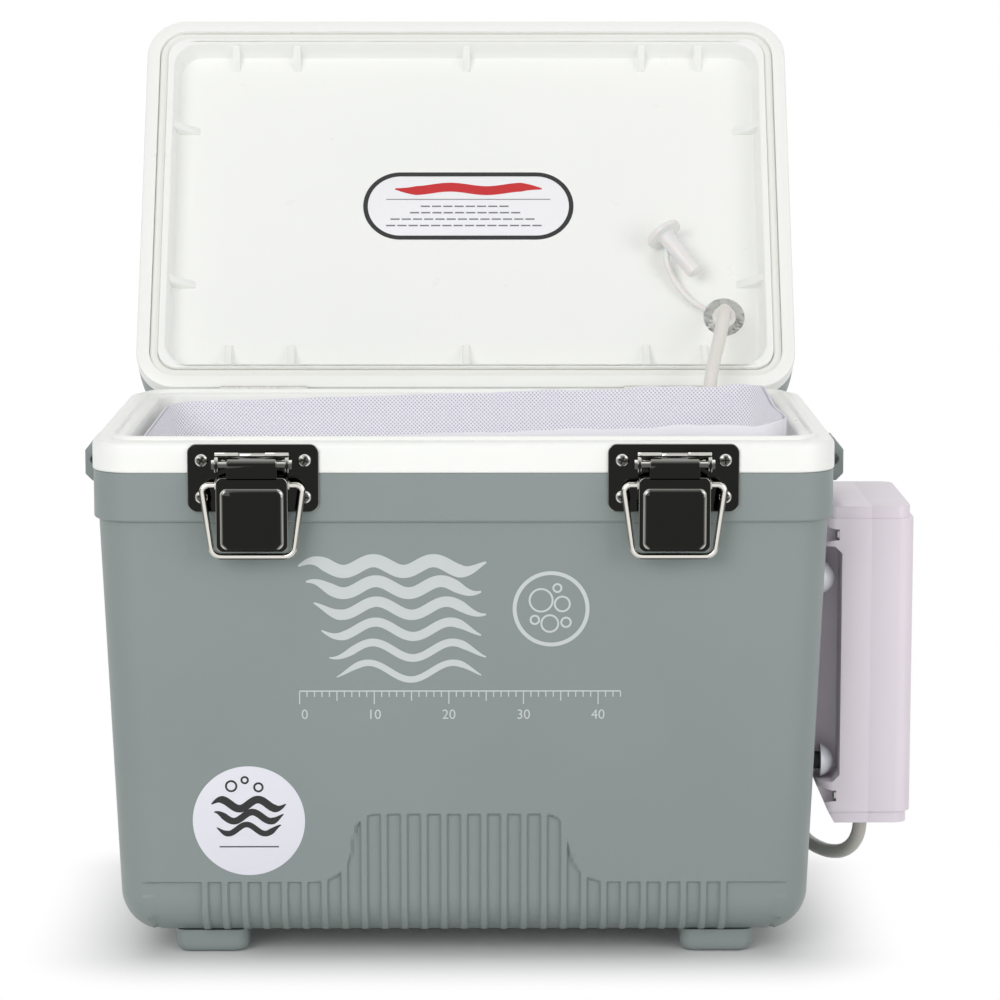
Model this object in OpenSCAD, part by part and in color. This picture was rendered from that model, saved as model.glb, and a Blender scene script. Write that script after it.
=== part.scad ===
// An insulated live bait box with a hinged lid, two draw latches, a net bag and an air pump on its side.
// Millimetres. X runs to the right, Y away from the front, Z up. The origin is the middle of the box's
// footprint on the floor. The lid is drawn shut and then swung open about its hinge pins.

/* [Box] */
// Width over the rim
rim_w = 298; // [285:1:320]
// Depth over the rim
rim_d = 188; // [184:1:204]
// Height of the rim above the floor
rim_z = 214.2; // [209.2:1:236.2]
// Radius of the upright corners of rim, collar and lid
corner_r = 18; // [15:0.5:22]
// How far each wall leans in between the collar and the bottom
wall_lean = 6.2; // [4:0.2:8]
// Radius of the bottom edge
bottom_r = 18; // [15:0.5:20]
// Thickness of the outer shell
shell_wall = 3; // [2.5:0.25:3.5]
// Thickness of the inner liner
liner_wall = 2.2; // [1.6:0.2:2.6]
// Height of the white band under the rim
band_h = 12.4; // [11.4:0.5:14.4]
// Height of the grey collar under the band
collar_h = 19.8; // [17.8:0.5:22.8]
// How far the collar stands proud of the wall below it
collar_step = 1.8; // [1:0.2:2.4]
// Rim edge to the mouth of the tub
mouth_margin = 13.5; // [13:0.5:16]
// Foam under the tub's floor
floor_foam = 11; // [8:0.5:14]
// Wall from outside to inside, at the tub's floor
floor_side = 17; // [15:0.5:20]

/* [Rim seal] */
// Rim edge to the middle of the sealing bead
bead_inset = 7.8; // [7.4:0.1:8.4]
// Width of the sealing bead
bead_w = 2.8; // [2:0.2:3.2]
// Height of the sealing bead
bead_h = 1.6; // [1:0.1:1.8]
// Play on each side of the bead in the lid's groove
bead_play = 0.6; // [0.4:0.1:0.8]

/* [Front ribs] */
// Depth of the ribbed recess
recess_depth = 1.5; // [1:0.1:1.8]
// Side of the wall to the end of the ribbed recess
recess_margin = 28.7; // [26.2:0.5:33.2]
// Height of its low shoulders
recess_low = 33; // [28:0.5:36]
// Height of its raised middle
recess_high = 61.4; // [55:0.2:66]
// Half width of its raised middle, halfway up
recess_mid_half = 44; // [40:0.5:52]
// Number of ribs
rib_count = 27; // [21:2:29]
// Smooth end of the recess beside the ribs
rib_end = 2.65; // [2:0.05:4]
// Width of a rib
rib_w = 2.9; // [2.4:0.1:3.4]

/* [Feet and strap lugs] */
// Height of the feet
foot_h = 9.5; // [8:0.5:12]
// Width of a foot
foot_w = 30; // [26:0.5:34]
// Length of a foot from front to back
foot_l = 26; // [22:0.5:30]
// Middle of the feet in from the side of the wall
foot_inset = 37; // [34:0.5:42]
// Height of a strap lug
lug_h = 18; // [16:0.5:22]
// How far a strap lug stands out
lug_out = 10.5; // [10:0.5:12.5]
// Length of a strap lug from front to back
lug_l = 18; // [14:0.5:24]
// Radius of the strap hole
lug_hole_r = 2.3; // [2:0.1:2.4]

/* [Lid] */
// Height of the closed lid
lid_h = 35; // [33:0.5:40]
// Height of the lid's white band
lid_band_h = 10; // [9:0.5:12]
// Gap between rim and closed lid
lid_gap = 0.6; // [0.4:0.1:1]
// Thickness of the lid's shell and liner
lid_wall = 2.5; // [2:0.1:3]
// Depth of the pan inside the lid
pan_depth = 11; // [10:0.5:13]
// Lid edge to the pan, at the sides and front
pan_margin = 13; // [12.5:0.5:15]
// How far the lid stands open from shut
lid_open = 120; // [112:0.5:122]
// Hinge pins behind the rim's back face
hinge_back = 3.4; // [3.3:0.1:4.2]
// Hinge pins below the rim
hinge_drop = 1.4; // [1:0.1:1.8]
// Middle of the hinges in from the rim's side
hinge_inset = 58.5; // [54:0.5:74]
// Length of a hinge
hinge_len = 39; // [36:1:46]

/* [Latches] */
// Middle of the latches in from the rim's side
latch_inset = 65.5; // [59:0.5:71]
// Width of a latch's base plate
plate_w = 52.3; // [51:0.1:56]
// Height of a latch's base plate
plate_h = 27.2; // [26.8:0.1:28.6]
// Thickness of a latch's base plate
plate_t = 1.2; // [1:0.1:1.3]
// Rim to the top of the base plate
plate_drop = 0.5; // [0.3:0.1:1.2]
// Lever pin below the rim
pin_drop = 8; // [7.7:0.1:8.3]
// Lever pin in front of the rim's face
pin_out = 8.6; // [8.4:0.1:9]
// Radius of the lever pin
pin_r = 1.5; // [1.2:0.1:1.6]
// Width of the lever
lever_w = 28.4; // [26:0.2:30]
// Lever pin to the tip of the lever
lever_len = 34.3; // [33:0.1:34.6]
// Thickness of the lever's sheet
lever_t = 1.3; // [1:0.1:1.4]
// How far the lever swings up
lever_swing = 120; // [90:1:122]
// Bail pivot below the lever pin
bail_drop = 8.2; // [8:0.1:8.6]
// Radius of the bail's wire
wire_r = 1.3; // [1.1:0.1:1.4]
// Bail pivot to the middle of its bottom bar
bail_len = 28.5; // [28.2:0.1:29.4]
// Half width of the bail at its pivot
bail_top_half = 20.2; // [19.4:0.1:20.8]
// Half width of the bail at its bottom bar
bail_low_half = 16; // [15.9:0.1:17]

/* [Pump] */
// Width of the pump from the box outwards
pump_w = 39.3; // [38.8:0.5:42.8]
// Depth of the pump from front to back
pump_d = 80; // [79:0.5:90]
// Height of the pump
pump_h = 133.7; // [132.2:0.5:140.7]
// Top of the pump below the rim
pump_drop = 33.8; // [32.8:0.5:36.8]
// Wall of the pump's case
pump_wall = 2; // [1.6:0.1:2.2]
// Gap between the pump and the top of the wall
pump_gap = 0.3; // [0.2:0.1:0.9]
// Radius of a button stud's head
stud_r = 6.75; // [6:0.25:7]
// Lower studs above the pump's underside
stud_from_low = 25; // [24:0.5:30]
// Upper studs below the pump's top
stud_from_top = 31; // [27:0.5:33]
// Studs in front of and behind the pump's middle
stud_y = 30; // [29.6:0.2:30.6]
// Radius of a battery cell
cell_r = 13.1; // [12.6:0.1:13.2]
// Length of a battery cell
cell_len = 50; // [44:0.5:50]
// Radius of the motor
motor_r = 12.2; // [10:0.1:12.4]
// Throw of the motor's crank pin
crank_throw = 1.5; // [1:0.1:1.8]

/* [Air line] */
// Outside radius of the air hose
hose_r = 3; // [2:0.1:3.1]
// Radius of the air stone
stone_r = 7; // [5:0.5:7]
// Length of the air stone
stone_len = 26; // [20:1:30]
// Port in the lid from the lid's side
port_inset = 31; // [31:0.5:37]
// Port in the lid from the hinge edge
port_s = 39.8; // [36:0.2:46]
// Radius of the port grommet's flange
port_r = 10.5; // [9:0.5:11]

/* [Net bag] */
// Side of the tub to the net's mouth
net_side_gap = 4.5; // [3.5:0.5:10]
// Front of the tub to the net's mouth
net_front_gap = 3.5; // [2.5:0.5:8]
// Back of the tub to the net's mouth
net_back_gap = 11.5; // [11:0.5:16]
// Bottom of the net above the tub's floor
net_rise = 18.3; // [16.3:1:44.3]
// Thickness that stands for the mesh
net_t = 1; // [0.8:0.1:1.4]

/* [Labels] */
// Radius of the round sticker
sticker_r = 22.7; // [18:0.1:23]
// Length of the oval label in the lid
label_w = 97.6; // [80:0.2:110]
// Height of the oval label in the lid
label_h = 35; // [28:0.5:40]

/* [Hidden] */
$fn = 64;
fine = 0.3;
hair = 0.05;
touch = 0.01;
bend_slim = 0.02;
bend_lap = 0.1;
soft_fn = 32;

collar_z = rim_z - band_h - collar_h;
band_z = rim_z - band_h;
front_y = -rim_d / 2;
back_y = rim_d / 2;
wall_top_half = rim_w / 2 - 0.3 - collar_step;
depth_top_half = rim_d / 2 - 0.3 - collar_step;
wall_low_half = wall_top_half - wall_lean;
depth_low_half = depth_top_half - wall_lean;
lean_rise = collar_z - foot_h - bottom_r;
lean_angle = atan(wall_lean / lean_rise);
collar_lean = wall_lean * collar_h / lean_rise;
tub_z = foot_h + shell_wall + floor_foam + liner_wall;
tub_top_w = rim_w - 2 * mouth_margin;
tub_top_d = rim_d - 2 * mouth_margin;
tub_low_w = 2 * (wall_low_half - floor_side);
tub_low_d = 2 * (depth_low_half - floor_side);
tub_r = corner_r - 5;
flange_t = 3;
foot_x = wall_low_half - foot_inset;
recess_half = wall_low_half - recess_margin;
rib_pitch = 2 * (recess_half - rib_end) / rib_count;
sticker_x = 53.7 - wall_low_half;
sticker_z = 59;

lid_z = rim_z + lid_gap;
lid_top = lid_z + lid_h;
skirt_t = lid_wall + 2;
shell_z = lid_z + lid_band_h;
hinge_x = rim_w / 2 - hinge_inset;
hinge_y = back_y + hinge_back;
hinge_z = rim_z - hinge_drop;
pan_front = front_y + pan_margin - 1;
pan_back = back_y - 11.5;
pan_half = rim_w / 2 - pan_margin;
pan_z = lid_z + pan_depth;
pan_mid_y = (pan_front + pan_back) / 2;
pan_d = pan_back - pan_front;
groove_w = bead_w + 2 * bead_play;
groove_deep = bead_h + 1.6;
gasket_t = 1.2;
gusset_x = [-0.794, -0.585, 0, 0.603, 0.798];
gusset_y = [-0.249, 0.231];

screw_r = 1.5;
screw_head_r = 2.7;
screw_head_h = 1.4;
screw_len = 8;
latch_x = rim_w / 2 - latch_inset;
plate_top = rim_z - plate_drop;
plate_mid = plate_top - plate_h / 2;
plate_screw_x = 20.5;
plate_screw_up = plate_mid + 7;
plate_screw_down = plate_mid - 7.7;
pin_y = front_y - pin_out;
pin_z = rim_z - pin_drop;
bail_y = pin_y + 1.6;
bail_z = pin_z - bail_drop;
sleeve_r = 2;
roll_r = 2.7;
roll_half = 10;
ear_in = roll_half + 3.2;
ear_t = 1.5;
ear_r = 3.3;
slot_half = 5.2;
lever_tip = pin_z - lever_len;
pad_half = 12.7;
pad_out = 3.2;
pocket_half = 18.5;
pocket_deep = 2.2;
pocket_low = lid_z + 2.2;
pocket_top = lid_z + 24;
keeper_half = 11;
keeper_t = 1;
hook_slant = 65;
latched_y = front_y + pocket_deep - keeper_t - wire_r - 0.35;
latched_angle = 180 + asin((latched_y - bail_y) / bail_len);
latched_z = bail_z - bail_len * cos(latched_angle);

lug_base = rim_w / 2;
lug_tab = 2;
lug_mid_z = band_z - 5.5;
lug_screw_y = lug_l / 2 + 5;
leaf_t = 2;
knuckle_r = 3;
hinge_pin_r = 1.5;
leaf_low = hinge_z - 28;
leaf_high = lid_z + 27;

pump_x = wall_top_half + pump_gap;
pump_top = rim_z - pump_drop;
pump_z = pump_top - pump_h;
pump_out_x = pump_x + pump_w;
works_x = pump_out_x - 36.5;
pump_seam = works_x + 18.7;
stud_x = pump_x + 1.8;
stud_len = 13;
stud_low = pump_z + stud_from_low;
stud_high = pump_top - stud_from_top;
cap_step = 1.5;
cap_h = 5;
land_half = 22;
slot_x = works_x + 6.5;
slot_low = stud_low - 7.4;
slot_high = stud_high + 14.4;
post_y = pump_d / 2 - 2.8;
post_hole_r = 3.6;
post_r = 5;
post_low = pump_z + 11.7;
post_high = pump_top - 11.7;
cell_x = works_x + 6.3 + cell_r;
cell_y = 12.4;
cell_low = pump_z + 10;
air_x = works_x + 18;
air_y = -13.5;
head_top = pump_z + 30;
motor_z = pump_z + 72;
rod_x = works_x + 11.5;

nipple_low = pump_z - 0.5;
net_rise_x = 0.03;
net_mouth_z = rim_z + 1.9;
net_half = tub_top_w / 2 - net_side_gap;
net_front = tub_top_d / 2 - net_front_gap;
net_back = tub_top_d / 2 - net_back_gap;
net_low = tub_z + net_rise;
net_edge_r = 14;
net_low_gap = [4.7, 9.7];
port_x = rim_w / 2 - port_inset;
port_y = back_y - port_s;
plug_side = 26.5;
plug_reach = 36.7;
plug_drop = 9;
plug_lean = 13.5;
plug_rise = 19.8;
hose_gap = 0.2;
hook_low = 3.4;
stone_x = tub_low_w / 2 - 39.7;
stone_y = tub_low_d / 2 - 16.7;
stone_z = tub_z + stone_r + hair;

// Routes of the air hose, chosen by hand: from the pump round the back to the lid's port, and from the
// port over the rim and down behind the net to the air stone.
outer_plan = [[168, -20, 46], [168, -20, 41], [167.2, -18.6, 35.5], [165, -15, 30.5], [161.5, -9, 26.8],
    [157, -1, 25], [152.8, 9, 24.6], [149.6, 21, 24.8], [147.8, 35, 25.6], [147, 50, 27.4], [146.6, 65, 31],
    [145.4, 80, 37], [143, 94, 46], [139.4, 107, 59], [135, 119, 76], [131, 130, 97], [127.4, 140, 121],
    [124.2, 149, 147], [121.4, 157, 174], [119.4, 163.4, 198], [118.6, 166.4, 212], [118.2, 166, 220.8],
    [118, 162.6, 227.8], [118, 157.6, 231.4], [118, 152.55, 234.2]];
inner_plan = [[118, 128.1, 245.1], [118, 124.4, 247.2], [117.5, 120, 247.6], [116.8, 115, 246],
    [115.8, 109.4, 242.4], [114.4, 103.4, 237.6], [112.8, 97, 233], [111.2, 90, 228.6], [109.8, 83, 224.2],
    [108.6, 77.2, 218.8], [107.8, 74, 210.8], [107.2, 73, 200.76], [106.4, 72.2, 180.32],
    [105.4, 70.6, 152.88], [104.2, 68.8, 123.44], [102.6, 66.2, 94], [101, 62.8, 70], [99.4, 58.4, 52],
    [97.4, 55, 42], [93, 52.6, 35], [88.5, 52, 32.75], [84, 52, 32.75]];

// Where a point of the closed lid comes to when the lid stands open.
function swung(p) = [p[0], hinge_y + (p[1] - hinge_y) * cos(lid_open) + (p[2] - hinge_z) * sin(lid_open),
    hinge_z - (p[1] - hinge_y) * sin(lid_open) + (p[2] - hinge_z) * cos(lid_open)];

// A planned route whose two ends are moved to where they belong, and the rest with them in proportion.
function fitted(plan, start, end) = let (n = len(plan)) [for (i = [0 : n - 1])
    plan[i] + (1 - i / (n - 1)) * (start - plan[0]) + i / (n - 1) * (end - plan[n - 1])];

function outer_route() = fitted(outer_plan, [air_x, air_y, nipple_low],
    swung([port_x, port_y, lid_top + 2 + hose_gap]));
function inner_route() = fitted(inner_plan, swung([port_x, port_y, pan_z - 2 - hose_gap]),
    [stone_x, stone_y, stone_z]);

function unit(v) = v / norm(v);
function spline_point(a, b, c, d, t) = 0.5 * (2 * b + (c - a) * t + (2 * a - 5 * b + 4 * c - d) * t * t
    + (3 * b - a - 3 * c + d) * t * t * t);
function route_line(pts, steps) = let (n = len(pts)) concat(
    [for (i = [0 : n - 2], k = [0 : steps - 1])
        spline_point(i == 0 ? 2 * pts[0] - pts[1] : pts[i - 1], pts[i], pts[i + 1],
            i == n - 2 ? 2 * pts[n - 1] - pts[n - 2] : pts[i + 2], k / steps)],
    [pts[n - 1]]);
function tangent_at(line, i) = let (n = len(line)) unit(line[min(i + 1, n - 1)] - line[max(i - 1, 0)]);

// One unbroken tube along a line, ring after ring, with flat ends.
module tube_along(line, radius, sides, side_hint) {
    n = len(line);
    rings = [for (i = [0 : n - 1])
        let (t = tangent_at(line, i), u = unit(cross(side_hint, t)), v = cross(t, u))
        for (k = [0 : sides - 1])
            line[i] + radius * (cos(360 * k / sides) * u + sin(360 * k / sides) * v)];
    walls = [for (i = [0 : n - 2], k = [0 : sides - 1])
        [i * sides + k, (i + 1) * sides + k, (i + 1) * sides + (k + 1) % sides, i * sides + (k + 1) % sides]];
    first_cap = [[for (k = [0 : sides - 1]) k]];
    last_cap = [[for (k = [0 : sides - 1]) n * sides - 1 - k]];
    polyhedron(rings, concat(walls, first_cap, last_cap), convexity = 6);
}

// Flat rectangle with true arcs at its corners.
module rounded_rect(w, d, r) {
    square([w - 2 * r, d], center = true);
    square([w, d - 2 * r], center = true);
    for (x = [-1, 1], y = [-1, 1])
        translate([x * (w / 2 - r), y * (d / 2 - r)])
            circle(r);
}

module slab(w, d, r, z, h) {
    translate([0, 0, z])
        linear_extrude(h)
            rounded_rect(w, d, r);
}

// Upright box that leans in towards a bottom with a rounded edge.
module leaning_box(low_w, low_d, z0, top_w, top_d, z1, top_r, edge_r) {
    hull() {
        for (x = [-1, 1], y = [-1, 1])
            translate([x * (low_w / 2 - edge_r), y * (low_d / 2 - edge_r), z0 + edge_r])
                sphere(edge_r, $fn = soft_fn);
        translate([0, 0, z1 - touch])
            linear_extrude(touch)
                rounded_rect(top_w, top_d, top_r, $fn = soft_fn);
    }
}

module ring_slab(w, d, r, z, h, band) {
    difference() {
        slab(w, d, r, z, h);
        slab(w - 2 * band, d - 2 * band, r - band, z - touch, h + 2 * touch);
    }
}

// Points a child that is drawn along +Z straight forwards, towards the viewer.
module facing_front() {
    rotate([90, 0, 0])
        children();
}

module facing_back() {
    rotate([-90, 0, 0])
        children();
}

module shaft(r, h) {
    cylinder(r = r, h = h);
}

// Screw with a low round head and a cross in it. The head sits on the plane z = 0 and the shank goes down.
module pan_screw(shank_r, head_r, head_h, shank_len) {
    difference() {
        intersection() {
            translate([0, 0, head_h - 2 * head_r])
                sphere(2 * head_r);
            shaft(head_r, head_h);
        }
        for (turn = [0, 90])
            rotate([0, 0, turn])
                translate([-head_r * 0.55, -0.35, head_h * 0.5])
                    cube([head_r * 1.1, 0.7, head_h]);
    }
    translate([0, 0, -shank_len])
        shaft(shank_r, shank_len);
}

module cross_screw() {
    pan_screw(screw_r, screw_head_r, screw_head_h, screw_len);
}

// Places of the screws that go into the box, each pointing out of it.
module at_latch_screws() {
    for (side = [-1, 1], x = [-1, 1], z = [plate_screw_up, plate_screw_down])
        translate([side * latch_x + x * plate_screw_x, front_y - plate_t, z])
            facing_front()
                children();
}

module at_hinge_body_screws() {
    for (side = [-1, 1], x = [-1, 1])
        translate([side * hinge_x + x * hinge_len * 0.33, back_y + leaf_t, leaf_low + 6])
            facing_back()
                children();
}

module at_lug_screws() {
    for (side = [-1, 1], y = [-1, 1])
        translate([side * (lug_base + lug_tab), y * lug_screw_y, lug_mid_z])
            rotate([0, side * 90, 0])
                children();
}

module at_foot_screws() {
    for (x = [-1, 1], y = [-1, 1])
        translate([x * foot_x, y * foot_mid_y(), foot_h - 4])
            rotate([180, 0, 0])
                children();
}

function foot_mid_y() = depth_low_half - bottom_r + 2.5 - foot_l / 2;
function wall_x(z) = wall_top_half - wall_lean * (collar_z - z) / lean_rise;

// Frame on the right wall: +Z points out of the wall, which leans.
module on_right_wall(y, z) {
    translate([wall_x(z), y, z])
        rotate([0, 90 + lean_angle, 0])
            children();
}

module at_studs() {
    for (y = [-stud_y, stud_y], z = [stud_low, stud_high])
        translate([stud_x, y, z])
            rotate([0, 90, 0])
                children();
}

module body_holes(play) {
    at_latch_screws()
        translate([0, 0, -screw_len - fine])
            shaft(screw_r + play, screw_len + fine);
    at_hinge_body_screws()
        translate([0, 0, -screw_len - fine])
            shaft(screw_r + play, screw_len + fine);
    at_lug_screws()
        translate([0, 0, -screw_len - fine])
            shaft(screw_r + play, screw_len + fine);
    at_foot_screws()
        translate([0, 0, -screw_len - fine])
            shaft(screw_r + play, screw_len + fine);
    at_studs()
        translate([0, 0, -stud_len - fine])
            shaft(screw_r + play, stud_len + fine);
}

module body_form(inset) {
    leaning_box(2 * (wall_low_half - inset), 2 * (depth_low_half - inset), foot_h + inset,
        2 * (wall_top_half - inset), 2 * (depth_top_half - inset), collar_z,
        corner_r - inset, bottom_r - inset);
}

// Room inside the shell. Its walls run on at the same lean up to the band.
module cavity_form(inset) {
    leaning_box(2 * (wall_low_half - inset), 2 * (depth_low_half - inset), foot_h + inset,
        2 * (wall_top_half - inset + collar_lean), 2 * (depth_top_half - inset + collar_lean), band_z + touch,
        corner_r - inset, bottom_r - inset);
}

module recess_outline() {
    offset(r = -9, $fn = soft_fn)
        offset(delta = 9)
            offset(r = 7.5, $fn = soft_fn)
                offset(delta = -7.5)
                    union() {
                        translate([-recess_half, -bottom_r])
                            square([2 * recess_half, recess_low + bottom_r]);
                        polygon([[-recess_mid_half - 3, recess_low - 12], [recess_mid_half + 3, recess_low - 12],
                            [recess_mid_half - 2.5, recess_high], [-recess_mid_half + 2.5, recess_high]]);
                    }
}

module recess_cut() {
    difference() {
        translate([0, front_y + 30, 0])
            facing_front()
                linear_extrude(40)
                    difference() {
                        recess_outline();
                        for (i = [0 : rib_count - 1])
                            translate([(i - (rib_count - 1) / 2) * rib_pitch - rib_w / 2, -2 * bottom_r])
                                square([rib_w, recess_high + 3 * bottom_r]);
                    }
        body_form(recess_depth);
    }
}

module outer_shell() {
    color("#8a9593")
        difference() {
            union() {
                body_form(0);
                slab(rim_w - 0.6, rim_d - 0.6, corner_r - 0.3, collar_z, collar_h);
            }
            cavity_form(shell_wall);
            recess_cut();
            body_holes(hair);
        }
}

module tub_outer(play) {
    leaning_box(tub_low_w + 2 * (liner_wall + play), tub_low_d + 2 * (liner_wall + play),
        tub_z - liner_wall - play, tub_top_w + 2 * (liner_wall + play), tub_top_d + 2 * (liner_wall + play),
        rim_z, tub_r + liner_wall + play, tub_r + liner_wall + play);
}

module inner_liner() {
    color("#f4f5f0")
        difference() {
            union() {
                difference() {
                    slab(rim_w, rim_d, corner_r, band_z, band_h);
                    slab(rim_w - 2 * shell_wall, rim_d - 2 * shell_wall, corner_r - shell_wall,
                        band_z - touch, band_h - flange_t + touch);
                }
                ring_slab(rim_w - 2 * bead_inset + bead_w, rim_d - 2 * bead_inset + bead_w,
                    corner_r - bead_inset + bead_w / 2, rim_z - touch, bead_h + touch, bead_w);
                tub_outer(0);
            }
            leaning_box(tub_low_w, tub_low_d, tub_z, tub_top_w, tub_top_d, rim_z + touch, tub_r, tub_r);
            body_holes(hair);
        }
}

module foam_core() {
    color("#e8e4c8")
        difference() {
            union() {
                cavity_form(shell_wall + fine);
                slab(2 * (wall_top_half - shell_wall - 1), 2 * (depth_top_half - shell_wall - 1),
                    corner_r - shell_wall - 1, band_z - 2, band_h - flange_t - fine + 2);
            }
            tub_outer(fine);
            body_holes(2 * hair);
        }
}

module foot(x, y) {
    color("#7b8583")
        translate([x * foot_x, y * foot_mid_y(), 0])
            difference() {
                hull() {
                    slab(foot_w - 4, foot_l - 4, 5, 0, touch);
                    slab(foot_w, foot_l, 5, 2.5, foot_h - 2.5);
                }
                translate([0, 0, -touch])
                    shaft(screw_head_r + 1, foot_h - 4);
                shaft(screw_r + hair, foot_h + 1);
            }
}

module foot_screws() {
    color("#9a9a9a")
        at_foot_screws()
            translate([0, 0, touch])
                cross_screw();
}

// Moulded block with chamfered ends, a hole for the strap clip and two screw tabs.
module strap_lug(side) {
    color("#8a9593")
        difference() {
            union() {
                translate([side * lug_base, lug_l / 2, lug_mid_z])
                    facing_front()
                        linear_extrude(lug_l)
                            polygon([[0, -lug_h / 2], [side * (lug_out - 3), -lug_h / 2],
                                [side * lug_out, -lug_h / 2 + 3], [side * lug_out, lug_h / 2 - 5],
                                [side * (lug_out - 4), lug_h / 2], [0, lug_h / 2]]);
                translate([side * (lug_base + lug_tab / 2), 0, lug_mid_z])
                    cube([lug_tab, lug_l + 20, 12], center = true);
            }
            translate([side * (lug_base + lug_out - 4.4), lug_l, lug_mid_z])
                facing_front()
                    shaft(lug_hole_r, 2 * lug_l);
            at_lug_screws()
                translate([0, 0, -5])
                    shaft(screw_r + hair, 6);
        }
}

module strap_lug_screws() {
    color("#c0c0c0")
        at_lug_screws()
            cross_screw();
}

// Pressed plate with a bracket whose two ears carry the lever pin.
module latch_plate(side) {
    color("#50504c")
        translate([side * latch_x, 0, 0])
            difference() {
                union() {
                    translate([0, front_y, plate_mid])
                        facing_front()
                            linear_extrude(plate_t)
                                rounded_rect(plate_w, plate_h, 3.5);
                    for (x = [-1, 1])
                        translate([x * (ear_in + ear_t / 2) - ear_t / 2, 0, 0]) {
                            translate([0, pin_y, pin_z])
                                rotate([0, 90, 0])
                                    shaft(ear_r, ear_t);
                            translate([0, pin_y, pin_z - ear_r])
                                cube([ear_t, front_y - pin_y - plate_t / 2, 2 * ear_r]);
                        }
                    intersection() {
                        translate([-ear_in - ear_t, pin_y, pin_z])
                            rotate([0, 90, 0])
                                difference() {
                                    shaft(4.9, 2 * ear_in + 2 * ear_t);
                                    translate([0, 0, -1])
                                        shaft(3.6, 2 * ear_in + 2 * ear_t + 2);
                                }
                        translate([-plate_w / 2, pin_y - 0.3, pin_z])
                            cube([plate_w, plate_h, plate_h]);
                    }
                    translate([-ear_in - ear_t, pin_y + 3.7, pin_z - 1.2])
                        cube([2 * ear_in + 2 * ear_t, front_y - pin_y - plate_t / 2 - 3.7, 1.6]);
                }
                translate([-ear_in - 2 * ear_t, pin_y, pin_z])
                    rotate([0, 90, 0])
                        shaft(pin_r, 2 * ear_in + 4 * ear_t);
                translate([-slot_half, pin_y - 1, pin_z + 3])
                    cube([2 * slot_half, 2.2, 3]);
                for (x = [-1, 1], z = [plate_screw_up, plate_screw_down])
                    translate([x * plate_screw_x, front_y + 1, z])
                        facing_front()
                            shaft(screw_r + hair, plate_t + 2);
            }
}

module latch_screws() {
    color("#8c8c88")
        at_latch_screws()
            cross_screw();
}

module lever_pins() {
    color("#9a9a96")
        for (side = [-1, 1])
            translate([side * latch_x - ear_in - ear_t - 1.2, pin_y, pin_z])
                rotate([0, 90, 0]) {
                    shaft(pin_r, 2 * (ear_in + ear_t + 1.2));
                    shaft(pin_r + 0.6, 1.2 - touch);
                    translate([0, 0, 2 * (ear_in + ear_t) + 1.2 + touch])
                        shaft(pin_r + 0.6, 1.2 - touch);
                }
}

// Channel of pressed sheet: a roll round the pin, a flat with a raised pad, and two side flanges that
// hold the bail's sleeve.
module latch_lever(side) {
    sheet_front = pin_y - roll_r;
    flange_back = bail_y + sleeve_r + 0.7;
    neck_low = pin_z - 4.8;
    pad_top = pin_z - 9;
    pad_low = lever_tip + 0.6;
    color("#3c3c39")
        translate([side * latch_x, 0, 0])
            difference() {
                union() {
                    translate([-roll_half, pin_y, pin_z])
                        rotate([0, 90, 0])
                            shaft(roll_r, 2 * roll_half);
                    translate([-roll_half, sheet_front, neck_low - 1])
                        cube([2 * roll_half, lever_t, pin_z - neck_low + 1]);
                    translate([-lever_w / 2, sheet_front, lever_tip])
                        cube([lever_w, lever_t, neck_low - lever_tip]);
                    for (x = [-1, 1])
                        translate([x * (lever_w / 2 - lever_t / 2) - lever_t / 2, sheet_front, bail_z - 16])
                            cube([lever_t, flange_back - sheet_front, neck_low - bail_z + 16]);
                    hull() {
                        translate([-pad_half, sheet_front, pad_low])
                            cube([2 * pad_half, lever_t, pad_top - pad_low]);
                        translate([-pad_half + 3, sheet_front - pad_out + lever_t, pad_low + 3])
                            cube([2 * pad_half - 6, touch, pad_top - pad_low - 6]);
                    }
                }
                translate([-lever_w, pin_y, pin_z])
                    rotate([0, 90, 0])
                        shaft(pin_r + hair, 2 * lever_w);
                translate([-lever_w, bail_y, bail_z])
                    rotate([0, 90, 0])
                        shaft(sleeve_r + hair, 2 * lever_w);
                hull() {
                    translate([-pad_half + lever_t, sheet_front + lever_t + touch, pad_low + lever_t])
                        cube([2 * (pad_half - lever_t), touch, pad_top - pad_low - 2 * lever_t]);
                    translate([-pad_half + 4, sheet_front - pad_out + 2 * lever_t, pad_low + 4])
                        cube([2 * pad_half - 8, touch, pad_top - pad_low - 8]);
                }
            }
}

// Tube through the lever's flanges, in which the two ends of the bail turn.
module bail_sleeve(side) {
    color("#8c8c88")
        translate([side * latch_x - lever_w / 2 - 0.6, bail_y, bail_z])
            rotate([0, 90, 0])
                difference() {
                    shaft(sleeve_r, lever_w + 1.2);
                    translate([0, 0, -1])
                        shaft(wire_r + hair, lever_w + 4);
                }
}

// Straight piece of wire between two points of the X-Z plane.
module wire_run(p, q, r) {
    d = q - p;
    translate([p[0], 0, p[1]])
        rotate([0, atan2(d[0], d[1]), 0])
            shaft(r, norm(d));
}

// Rounded corner of a wire at b, between the directions to a and to c. It is a hair slimmer than the
// straight runs, which lap over its ends.
module wire_bend(a, b, c, bend, r) {
    u = unit(a - b);
    v = unit(c - b);
    half = acos(u * v) / 2;
    mid = b + unit(u + v) * bend / sin(half);
    p = b + u * bend / tan(half) - mid;
    q = b + v * bend / tan(half) - mid;
    start = atan2(p[1], p[0]);
    raw = atan2(q[1], q[0]) - start;
    turn = raw > 180 ? raw - 360 : raw < -180 ? raw + 360 : raw;
    translate([mid[0], 0, mid[1]])
        rotate([90, 0, 0])
            rotate([0, 0, min(start, start + turn)])
                rotate_extrude(angle = abs(turn))
                    translate([bend, 0])
                        circle(r - bend_slim);
}

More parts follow.
